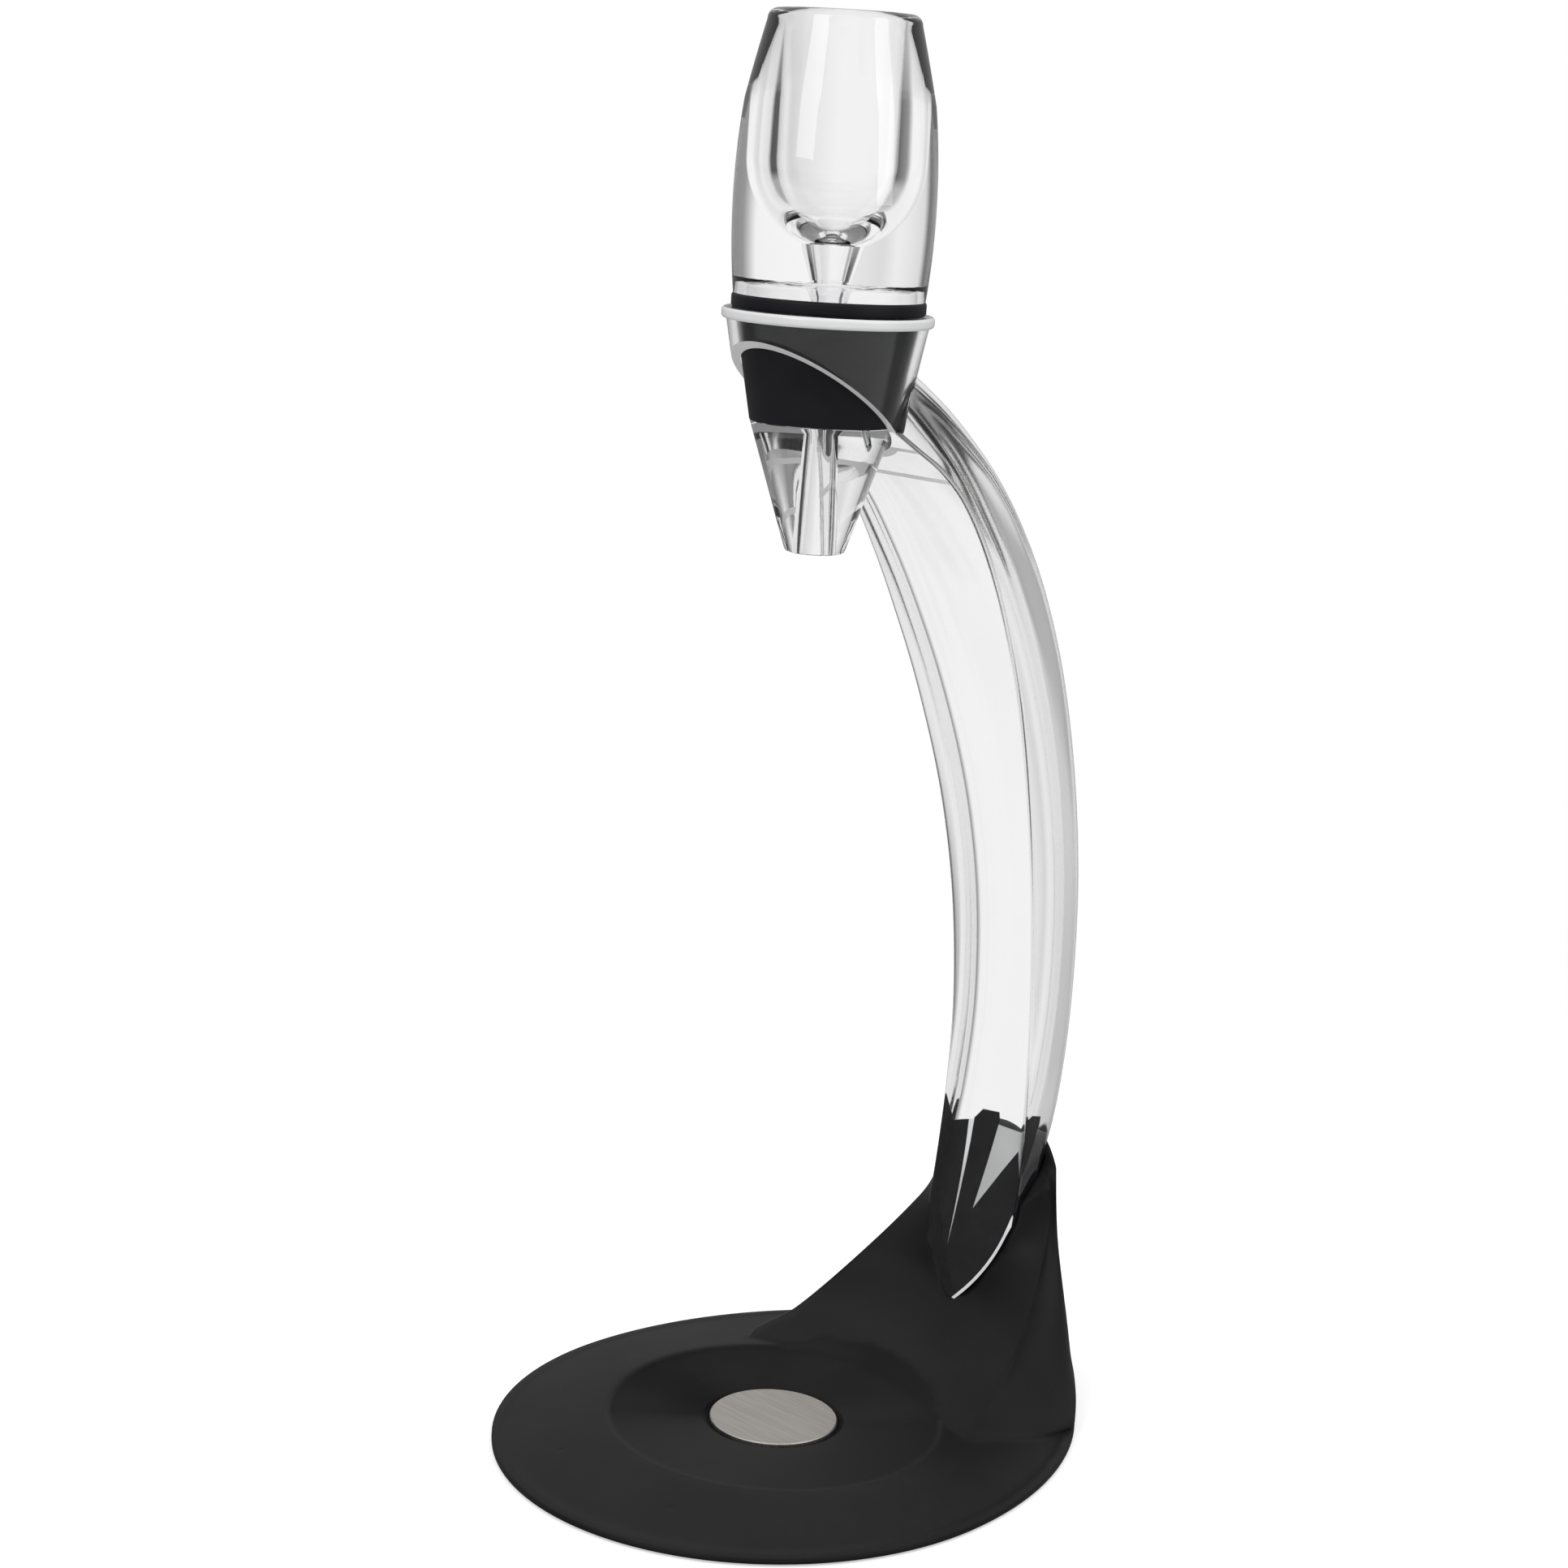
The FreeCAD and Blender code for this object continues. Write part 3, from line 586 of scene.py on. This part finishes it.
def bowl_outline():
    """Up the bowl's side, over its rim, down through the cup and nozzle, and round the recess."""
    rim_z = BOWL_TOP_Z - BOWL_RIM_ROUND
    lip = CUP_LIP_ROUND
    outline = arc_through(*BOWL_SIDE, count=24) + arc_through(*BOWL_SHOULDER, count=12)[1:]
    outline += quarter((BOWL_RIM_RADIUS - BOWL_RIM_ROUND, rim_z), BOWL_RIM_ROUND, 0.0, 8)[1:]
    outline += quarter((CUP_RADIUS + lip, BOWL_TOP_Z - lip), lip, 90.0, 5)
    side = 0.5 * math.pi
    throat = math.asin(THROAT_RADIUS / CUP_RADIUS)
    for i in range(CUP_FLOOR_STEPS + 1):
        t = side + (throat - side) * i / CUP_FLOOR_STEPS
        outline.append((CUP_RADIUS * math.sin(t), CUP_FLOOR_Z - CUP_FLOOR_DEPTH * math.cos(t)))
    outline += [(NOZZLE_BORE_RADIUS, THROAT_END_Z), (NOZZLE_BORE_RADIUS, NOZZLE_TIP_Z)]
    outline += [(NOZZLE_RADIUS, NOZZLE_TIP_Z), (NOZZLE_RADIUS, BOWL_Z)]
    outline += [(RECESS_INNER_RADIUS, RECESS_TOP_Z)]
    corner = (RECESS_OUTER_RADIUS - RECESS_ROUND, RECESS_TOP_Z - RECESS_ROUND)
    return outline + quarter(corner, RECESS_ROUND, 90.0, -6) + [(RECESS_OUTER_RADIUS, BOWL_Z)]


def band_outline():
    """Up the band's tapered side, round its lip and down the inside."""
    seat = BAND_SEAT_Z
    lip = BAND_LIP_ROUND
    outline = [(BAND_FOOT_RADIUS - BAND_WALL, BAND_FOOT_Z), (BAND_FOOT_RADIUS, BAND_FOOT_Z)]
    outline += [(BAND_TOP_RADIUS, seat)]
    outline += quarter((BAND_LIP_RADIUS - lip, seat + lip), lip, 270.0, 5)
    outline += quarter((BAND_LIP_RADIUS - lip, BOWL_Z - lip), lip, 0.0, 5)
    return outline + [(BAND_TOP_RADIUS - BAND_WALL, BOWL_Z), (BAND_TOP_RADIUS - BAND_WALL, seat)]


def spout_outline():
    """From the spout's rounded tip up the cone and inside the band, and down the bore."""
    inside_band = BAND_TOP_RADIUS - SPOUT_WALL_INSET
    outline = [(SPOUT_TIP_RADIUS + away, SPOUT_TIP_Z + up) for away, up in SPOUT_TIP_ROUND]
    outline += [(SPOUT_SHOULDER_RADIUS, SPOUT_SHOULDER_Z)]
    outline += [(BAND_FOOT_RADIUS - SPOUT_WALL_INSET, SPOUT_SHOULDER_Z)]
    outline += [(inside_band, BAND_SEAT_Z), (inside_band, BOWL_Z), (SPOUT_ENTRY_RADIUS, BOWL_Z)]
    groove_top, groove_foot = SEAL_GROOVE_Z
    outline += [(SPOUT_ENTRY_RADIUS, groove_top), (SEAL_GROOVE_RADIUS, groove_top)]
    outline += [(SEAL_GROOVE_RADIUS, groove_foot), (SPOUT_ENTRY_RADIUS, groove_foot)]
    return outline + list(SPOUT_BORE)


def rod(radius, start, end):
    """A straight round rod between two points."""
    way = Vector(end) - Vector(start)
    bm = bmesh.new()
    bmesh.ops.create_cone(bm, cap_ends=True, segments=24, radius1=radius, radius2=radius,
                          depth=way.length)
    turn = way.to_track_quat("Z", "Y").to_matrix().to_4x4()
    middle = Matrix.Translation(0.5 * (Vector(start) + Vector(end)))
    bmesh.ops.transform(bm, matrix=middle @ turn, verts=bm.verts)
    return bm


def under_band(centre, normal):
    """The spout's wall under the grip band, painted with white painted light, which keeps the black
    out of the cone.
    """
    off_axis = math.hypot(centre.x, centre.y - AXIS_Y)
    inside_band = BAND_FOOT_RADIUS - BAND_WALL - PAINTED_LIGHT_INSIDE
    above_foot = centre.z > BAND_FOOT_Z - PAINTED_LIGHT_BELOW
    return above_foot and off_axis > inside_band and normal.z < 0.5


finish_mesh("clear_bowl", turned(bowl_outline()), ACRYLIC, "aerator_bowl")
finish_mesh("grip_sleeve", turned(band_outline()), SILICONE, "grip_band")

spout = plain_object("spout", turned(spout_outline()))
for side in (1.0, -1.0):
    start = (side * (BAND_FOOT_RADIUS + INLET_START), AXIS_Y,
             INLET_Z - INLET_START * INLET_RISE / INLET_RUN)
    end = (side * (BAND_FOOT_RADIUS - INLET_REACH), AXIS_Y,
           INLET_Z + INLET_REACH * INLET_RISE / INLET_RUN)
    cut_with(spout, plain_object("inlet", rod(INLET_RADIUS, start, end)), "DIFFERENCE")
clear_spout = finish_mesh("clear_spout", taken_mesh(spout), ACRYLIC, "aerator_spout")
# Painted light: the spout's hidden wall under the band glows white, so the cone looks lighter
paint(clear_spout, PAINTED_LIGHT, under_band)

# ---------------------------------------------------------------- clear arm and ring


def arm_stations():
    """Front y and z, rear y and z and half-width of each station, foot first."""
    stations = []
    for height, half, thick in ARM_STATIONS:
        turn = math.asin((height - ARM_ARC_Z) / ARM_ARC_RADIUS)
        places = []
        for reach in (ARM_ARC_RADIUS, ARM_ARC_RADIUS + thick):
            places += [ARM_ARC_Y + reach * math.cos(turn), ARM_ARC_Z + reach * math.sin(turn)]
        stations.append(places + [half])
    return stations + [list(row) for row in ARM_ROOT]


def between(rows, t):
    """Smooth value of the rows' numbers at place t along them."""
    last = len(rows) - 1
    i = min(int(t), last - 1)
    u = t - i
    before = rows[max(i - 1, 0)]
    after = rows[min(i + 2, last)]
    values = []
    for p0, p1, p2, p3 in zip(before, rows[i], rows[i + 1], after):
        values.append(0.5 * (2 * p1 + (p2 - p0) * u + (2 * p0 - 5 * p1 + 4 * p2 - p3) * u * u
                             + (3 * p1 - p0 - 3 * p2 + p3) * u ** 3))
    return values


def arm_section(row):
    """Points round one section: flat front, softened edges, rounded back."""
    front_y, front_z, rear_y, rear_z, half = row
    front = Vector((0, front_y, front_z))
    across = Vector((0, rear_y, rear_z)) - front
    depth = across.length
    out = across.normalized()
    soft = min(ARM_FRONT_ROUND, ARM_FRONT_SHARE * depth)
    back = min(ARM_REAR_ROUND, ARM_REAR_SHARE * depth)
    corners = ((soft, half - soft, soft, 180.0), (depth - back, half - back, back, 90.0),
               (depth - back, -half + back, back, 0.0), (soft, -half + soft, soft, 270.0))
    rounds = [quarter((u, v), radius, start, -ARM_ROUND_STEPS) for u, v, radius, start in corners]
    points = []
    for run, following in zip(rounds, rounds[1:] + rounds[:1]):
        points += run
        here, ahead = run[-1], following[0]
        for k in range(1, ARM_FLAT_STEPS):
            points.append(tuple(a + (b - a) * k / ARM_FLAT_STEPS for a, b in zip(here, ahead)))
    return [front + out * u + Vector((1, 0, 0)) * v for u, v in points]


def arm_blank():
    """The arm without its ring, from a square foot to its root inside the ring."""
    rows = arm_stations()
    count = (len(rows) - 1) * ARM_STEPS
    bm = bmesh.new()
    loops = []
    for i in range(count + 1):
        verts = [bm.verts.new(p) for p in arm_section(between(rows, i / ARM_STEPS))]
        loops.append([bm.edges.new(pair) for pair in zip(verts, verts[1:] + verts[:1])])
    bmesh.ops.edgeloop_fill(bm, edges=loops[0])
    bmesh.ops.edgeloop_fill(bm, edges=loops[-1])
    for low, high in zip(loops, loops[1:]):
        bmesh.ops.bridge_loops(bm, edges=low + high)
    return bm


def tongue_prism():
    """The pointed outline of the arm's foot, carried through from front to back."""
    shoulder = (FOOT_RIGHT[0][0], TONGUE_SHOULDER_Z)
    outline = [(TONGUE_HALF_WIDTH, TONGUE_TOP_Z), (TONGUE_HALF_WIDTH, TONGUE_SHOULDER_Z), shoulder]
    outline += arc_through(*FOOT_RIGHT, count=20)
    outline += [(-x, z) for x, z in reversed(outline)]
    front_y, rear_y = TONGUE_Y
    bm = bmesh.new()
    face = bm.faces.new([bm.verts.new((x, front_y, z)) for x, z in outline])
    grown = bmesh.ops.extrude_face_region(bm, geom=[face])
    moved = [v for v in grown["geom"] if isinstance(v, bmesh.types.BMVert)]
    bmesh.ops.translate(bm, vec=(0, rear_y - front_y, 0), verts=moved)
    return bm


def ring_inner(z):
    """Radius of the ring's bore at a height."""
    return BAND_TOP_RADIUS + RING_CLEARANCE - BAND_TAPER * (BAND_SEAT_Z - z)


def ring_blank():
    """The ring without its bore: a tapered wall under a rounded flange, cut off obliquely."""
    low = RING_BLANK_FOOT_Z
    under = BAND_SEAT_Z - RING_FLANGE_HEIGHT
    r = RING_FLANGE_ROUND
    outline = [(0.0, low), (ring_inner(low) + RING_WALL, low)]
    outline += [(ring_inner(under) + RING_WALL, under)]
    outline += quarter((RING_FLANGE_RADIUS - r, under + r), r, 270.0, 8)
    outline += quarter((RING_FLANGE_RADIUS - r, BAND_SEAT_Z - r), r, 0.0, 8)
    bm = turned_solid(outline + [(0.0, BAND_SEAT_Z)])
    slope = math.atan(RING_CUT_SLOPE)
    geom = list(bm.verts) + list(bm.edges) + list(bm.faces)
    cut = bmesh.ops.bisect_plane(bm, geom=geom, plane_co=(0, 0, RING_CUT_Z),
                                 plane_no=(0, math.sin(slope), math.cos(slope)), clear_inner=True)
    edges = [e for e in cut["geom_cut"] if isinstance(e, bmesh.types.BMEdge)]
    bmesh.ops.edgeloop_fill(bm, edges=edges)
    return bm


def ring_hole():
    """The tapered plug that cuts the ring's bore."""
    low, high = RING_HOLE_Z
    return turned_solid([(0.0, low), (ring_inner(low), low), (ring_inner(high), high), (0.0, high)])


def on_left(normal):
    return normal.x < -0.98


def on_right(normal):
    return normal.x > 0.98


def on_front(normal):
    return normal.y < -0.5


def on_rear(normal):
    return normal.y > 0.1


BOND_SHADE_SIDES = ((BOND_SHADE_LEFT, on_left), (BOND_SHADE_RIGHT, on_right))
FOOT_EDGE_CIRCLE = circle_through(*FOOT_RIGHT)


def slice_faces(bm, faces, point, normal):
    """Cuts the faces along a plane, so that two finishes can meet there."""
    edges = dict.fromkeys(edge for face in faces for edge in face.edges)
    verts = dict.fromkeys(vert for face in faces for vert in face.verts)
    bmesh.ops.bisect_plane(bm, geom=faces + list(edges) + list(verts), plane_co=point,
                           plane_no=normal)


def cut_paint_lines(bm):
    """Cuts the arm's faces where the black bond with its painted shade and the painted highlight
    strip along the foot end.
    """
    bm.normal_update()
    for (x0, z0), (x1, z1) in zip(BOND_SHADE_TOP, BOND_SHADE_TOP[1:]):
        low_z = min(z0, z1) - BOND_SHADE_CUT_BELOW
        faces = [f for f in bm.faces if on_rear(f.normal)
                 and low_z < f.calc_center_median().z < BOND_SHADE_CUT_TOP_Z]
        slice_faces(bm, faces, (x0, 0.0, z0), Vector((z0 - z1, 0.0, x1 - x0)).normalized())
    x, z, radius = FOOT_EDGE_CIRCLE
    for edge_x, edge_z in arc_through(*FOOT_RIGHT, count=10):
        edge = Vector((edge_x, 0.0, edge_z))
        out = Vector((edge_x - x, 0.0, edge_z - z)) / radius
        faces = [f for f in bm.faces if on_front(f.normal)
                 and (f.calc_center_median() - edge).xz.length < FOOT_EDGE_CUT_REACH]
        slice_faces(bm, faces, Vector((x, 0.0, z)) + out * (radius - FOOT_EDGE_WIDTH), out)
    for (y, z, slope), on_side in BOND_SHADE_SIDES:
        faces = [f for f in bm.faces if on_side(f.normal)
                 and f.calc_center_median().z < BOND_SHADE_CUT_SIDE_TOP_Z]
        slice_faces(bm, faces, (0.0, y, z), Vector((0.0, -slope, 1.0)).normalized())


def below_line(centre, line, margin=0.0):
    """Whether a place is below a line given by y, height and slope."""
    y, z, slope = line
    return centre.z < z + slope * (centre.y - y) + margin


def in_bond_shade(centre, normal):
    """Whether a face of the arm's foot is painted black, as bond into the neck and as painted
    shade.
    """
    if on_front(normal):
        return False
    for line, on_side in BOND_SHADE_SIDES:
        if on_side(normal):
            return below_line(centre, line)
    lines_above = 0
    for (x0, z0), (x1, z1) in zip(BOND_SHADE_TOP, BOND_SHADE_TOP[1:]):
        if min(x0, x1) <= centre.x < max(x0, x1):
            lines_above += centre.z < z0 + (z1 - z0) * (centre.x - x0) / (x1 - x0)
    return lines_above % 2 == 1


def beside_bond_shade(centre, normal):
    """The rear faces between the bond's points, up to just above the neck's mouth, which get the
    painted reflection.
    """
    in_neck = below_line(centre, BOND_SHADE_RIGHT, margin=1.0)
    return in_neck and on_rear(normal) and not in_bond_shade(centre, normal)


def on_foot_edge(centre, normal):
    """The strip of the front face along the foot's right edge, which gets a painted highlight."""
    x, z, radius = FOOT_EDGE_CIRCLE
    inside = radius - math.hypot(centre.x - x, centre.z - z)
    along_edge = centre.z < FOOT_EDGE_TOP_Z and centre.x > FOOT_EDGE_MIN_X
    return on_front(normal) and along_edge and inside < FOOT_EDGE_WIDTH


def on_flange_rim(centre, normal):
    """The flange's rounded rim, which gets a painted highlight."""
    off_axis = math.hypot(centre.x, centre.y - AXIS_Y)
    below_top = BAND_SEAT_Z - centre.z
    return (off_axis > RING_FLANGE_RADIUS - RIM_SHARE * RING_FLANGE_ROUND
            and RIM_BELOW_TOP < below_top < RING_FLANGE_HEIGHT)


def on_ring_cut(centre, normal):
    """The oblique face that ends the ring below, which gets a painted highlight."""
    above_cut = centre.z - RING_CUT_Z + RING_CUT_SLOPE * centre.y
    return abs(above_cut) < RING_CUT_NEAR and normal.z < -0.5


arm = plain_object("arm", arm_blank())
cut_with(arm, plain_object("tongue", tongue_prism()), "INTERSECT")
cut_with(arm, plain_object("ring", ring_blank()), "UNION")
cut_with(arm, plain_object("hole", ring_hole()), "DIFFERENCE")
arm_mesh = taken_mesh(arm)
cut_paint_lines(arm_mesh)
clear_arm = finish_mesh("clear_arm", arm_mesh, ARM_ACRYLIC, "stand_arm", smooth=14.0)
# Painted highlights: the flange's rim and the ring's cut glow white
paint(clear_arm, PAINTED_LIGHT, on_flange_rim)
paint(clear_arm, PAINTED_LIGHT, on_ring_cut)
# Painted reflection: silver rear faces between the bond's points
paint(clear_arm, PAINTED_MIRROR, beside_bond_shade)
# Painted highlight along the foot's right edge
paint(clear_arm, PAINTED_LIGHT, on_foot_edge)
# Black bond, with painted shade in its jagged top
paint(clear_arm, BOND_SHADE, in_bond_shade)

# ---------------------------------------------------------------- foot and hidden pieces


def smooth_copy(name, node, material, smooth):
    """The CAD node's own shape, merged and smooth shaded."""
    bm = bmesh.new()
    bm.from_mesh(cad[node].data)
    bmesh.ops.remove_doubles(bm, verts=bm.verts, dist=CAD_MERGE)
    return shaded_piece(name, bm, material, node, smooth)


smooth_copy("black_foot", "base_shell", PLASTIC, smooth=28.0)
dress("base_disc", DISC)
dress("bowl_seal", SEAL)
dress("ballast_plate", PLATED)
dress("bottom_cover", PLASTIC)
for number in range(1, 5):
    dress("cover_screw_%d" % number, PLATED)
for number in range(1, 6):
    dress("foot_pad_%d" % number, RUBBER)

# ---------------------------------------------------------------- room, light and camera

# The floor: how much of it shows in mirrored light and through acrylic, what it glows with
# for the camera and for glossy rays, and the radii between which it fades out
FLOOR_IN_MIRROR = 0.15
FLOOR_IN_GLASS = 0.1
FLOOR_GLOW = 0.45
FLOOR_GLOW_GLOSSY = 0.12
FLOOR_FADE = (0.3, 0.75)

# The room for diffuse and mirrored light: its brightness between two heights of view
ROOM_HEIGHTS = (-0.2, 1.0)
ROOM_LIGHT = (0.2, 1.0)

# The room through acrylic: the bearing in which the camera looks, the brightness at degrees
# to its right, the heights of view between which ground and ceiling come in, the share and
# the offset that make the ground of the room, and the ceiling's brightness
VIEW_BEARING = math.radians(134.5)
ROOM_ROUND = (
    (-180, 0.75), (-130, 0.75), (-100, 0.6), (-86, 0.5), (-78, 0.08), (-58, 0.05), (-50, 0.75),
    (-28, 0.9), (-20, 0.74), (-8, 0.84), (0, 0.98), (36, 0.95), (44, 0.5), (50, 0.26), (70, 0.1),
    (82, 0.1), (89, 0.9), (140, 0.9), (180, 0.75))
GROUND_FROM = (-0.28, -0.45)
GROUND_LIGHT = (0.58, 0.37)
CEILING_FROM = (0.6, 0.85)
CEILING_LIGHT = 0.95


def white_floor():
    """White ground that keeps the object's shadow and fades into the white room."""
    material, tree, shader = new_material("studio floor")
    shader.inputs["Base Color"].default_value = (0.8, 0.8, 0.8, 1)
    shader.inputs["Roughness"].default_value = 0.9
    shader.inputs["Specular IOR Level"].default_value = 0.0
    shader.inputs["Emission Color"].default_value = (1, 1, 1, 1)
    rays = tree.nodes.new("ShaderNodeLightPath")
    gloss = add_math(tree, "MULTIPLY", FLOOR_GLOW_GLOSSY)
    glow = add_math(tree, "MULTIPLY_ADD", FLOOR_GLOW)
    mirrored = add_math(tree, "MULTIPLY_ADD", FLOOR_IN_MIRROR - 1.0, 1.0)
    kept = add_math(tree, "MULTIPLY_ADD", FLOOR_IN_GLASS - FLOOR_IN_MIRROR)
    alpha = add_math(tree, "MULTIPLY")
    place = tree.nodes.new("ShaderNodeTexCoord")
    reach = tree.nodes.new("ShaderNodeVectorMath")
    reach.operation = "LENGTH"
    fade = add_range(tree, FLOOR_FADE, (1.0, 0.0))
    fade.interpolation_type = "SMOOTHSTEP"
    link = tree.links.new
    link(rays.outputs["Is Glossy Ray"], gloss.inputs[0])
    link(rays.outputs["Is Camera Ray"], glow.inputs[0])
    link(gloss.outputs[0], glow.inputs[2])
    link(glow.outputs[0], shader.inputs["Emission Strength"])
    link(place.outputs["Object"], reach.inputs[0])
    link(reach.outputs["Value"], fade.inputs["Value"])
    link(rays.outputs["Is Glossy Ray"], mirrored.inputs[0])
    link(rays.outputs["Is Transmission Ray"], kept.inputs[0])
    link(mirrored.outputs[0], kept.inputs[2])
    link(fade.outputs["Result"], alpha.inputs[0])
    link(kept.outputs[0], alpha.inputs[1])
    link(alpha.outputs[0], shader.inputs["Alpha"])
    bm = bmesh.new()
    bmesh.ops.create_circle(bm, cap_ends=True, segments=64, radius=FLOOR_FADE[1])
    floor = linked_object("floor", bm)
    floor.data.materials.append(material)


def float_mix(tree):
    node = tree.nodes.new("ShaderNodeMix")
    node.data_type = "FLOAT"
    return node


def studio_world():
    """White room for the camera, which grows darker towards the floor for the other rays.

    Rays that have passed through acrylic see a room whose brightness changes with the
    bearing, a greyer ground and a bright ceiling.
    """
    world = bpy.data.worlds.new("studio")
    bpy.context.scene.world = world
    world.use_nodes = True
    tree = world.node_tree
    back = tree.nodes["Background"]
    back.inputs["Color"].default_value = (1, 1, 1, 1)
    rays = tree.nodes.new("ShaderNodeLightPath")
    place = tree.nodes.new("ShaderNodeTexCoord")
    parts = tree.nodes.new("ShaderNodeSeparateXYZ")
    bearing = add_math(tree, "ARCTAN2")
    share = add_math(tree, "MULTIPLY_ADD", -1.0 / math.tau, VIEW_BEARING / math.tau + 0.5)
    around = add_math(tree, "FRACT")
    behind = ROOM_ROUND[0][1]
    room = add_ramp(tree, (0.0, grey(behind)), (1.0, grey(behind)))
    for degrees, level in ROOM_ROUND[1:-1]:
        room.color_ramp.elements.new(degrees / 360.0 + 0.5).color = grey(level)
    height = add_range(tree, CEILING_FROM, (0.0, 1.0))
    depth = add_range(tree, GROUND_FROM, (0.0, 1.0))
    dimmed = add_math(tree, "MULTIPLY_ADD", *GROUND_LIGHT)
    ground = float_mix(tree)
    ceiling = float_mix(tree)
    ceiling.inputs["B"].default_value = CEILING_LIGHT
    plain = add_range(tree, ROOM_HEIGHTS, ROOM_LIGHT)
    lit = float_mix(tree)
    seen = float_mix(tree)
    seen.inputs["B"].default_value = 1.0
    link = tree.links.new
    link(place.outputs["Generated"], parts.inputs[0])
    link(parts.outputs["Y"], bearing.inputs[0])
    link(parts.outputs["X"], bearing.inputs[1])
    link(bearing.outputs[0], share.inputs[0])
    link(share.outputs[0], around.inputs[0])
    link(around.outputs[0], room.inputs["Fac"])
    link(parts.outputs["Z"], depth.inputs["Value"])
    link(depth.outputs["Result"], ground.inputs["Factor"])
    link(room.outputs["Color"], ground.inputs["A"])
    link(room.outputs["Color"], dimmed.inputs[0])
    link(dimmed.outputs[0], ground.inputs["B"])
    link(parts.outputs["Z"], height.inputs["Value"])
    link(height.outputs["Result"], ceiling.inputs["Factor"])
    link(ground.outputs["Result"], ceiling.inputs["A"])
    link(parts.outputs["Z"], plain.inputs["Value"])
    link(rays.outputs["Is Transmission Ray"], lit.inputs["Factor"])
    link(plain.outputs["Result"], lit.inputs["A"])
    link(ceiling.outputs["Result"], lit.inputs["B"])
    link(rays.outputs["Is Camera Ray"], seen.inputs["Factor"])
    link(lit.outputs["Result"], seen.inputs["A"])
    link(seen.outputs["Result"], back.inputs["Strength"])


def soft_lamp(name, place, aim, size, watts):
    """A rectangular lamp that isn't seen through acrylic."""
    data = bpy.data.lights.new(name, "AREA")
    data.shape = "RECTANGLE"
    data.size, data.size_y = size
    data.energy = watts
    lamp = bpy.data.objects.new(name, data)
    lamp.location = place
    lamp.rotation_euler = (Vector(aim) - Vector(place)).to_track_quat("-Z", "Y").to_euler()
    lamp.visible_transmission = False
    bpy.context.scene.collection.objects.link(lamp)


LAMP_AIM = (0, 0, 0.2)

white_floor()
studio_world()
soft_lamp("left window", (0.2, -1.6, 1.1), LAMP_AIM, size=(0.7, 1.2), watts=8.0)
soft_lamp("right window", (1.5, 0.3, 0.9), LAMP_AIM, size=(0.6, 1.2), watts=6.0)

# The camera stands where the photograph was taken from, and leans a little with it.
CAMERA_PLACE = (0.5958, -0.6108, 0.4013)
CAMERA_HEADING = math.radians(44.5) + 0.0057
CAMERA_PITCH = 0.2235
CAMERA_ROLL = 0.0576
CAMERA_SENSOR = 36.0
CAMERA_LENS = 67.98

camera_data = bpy.data.cameras.new("camera")
camera_data.sensor_width = CAMERA_SENSOR
camera_data.lens = CAMERA_LENS
camera = bpy.data.objects.new("camera", camera_data)
bpy.context.scene.collection.objects.link(camera)
turn = (Matrix.Rotation(CAMERA_HEADING, 4, "Z")
        @ Matrix.Rotation(0.5 * math.pi - CAMERA_PITCH, 4, "X")
        @ Matrix.Rotation(CAMERA_ROLL, 4, "Z"))
camera.matrix_world = Matrix.Translation(CAMERA_PLACE) @ turn
bpy.context.scene.camera = camera
bpy.context.scene.view_settings.view_transform = "Standard"
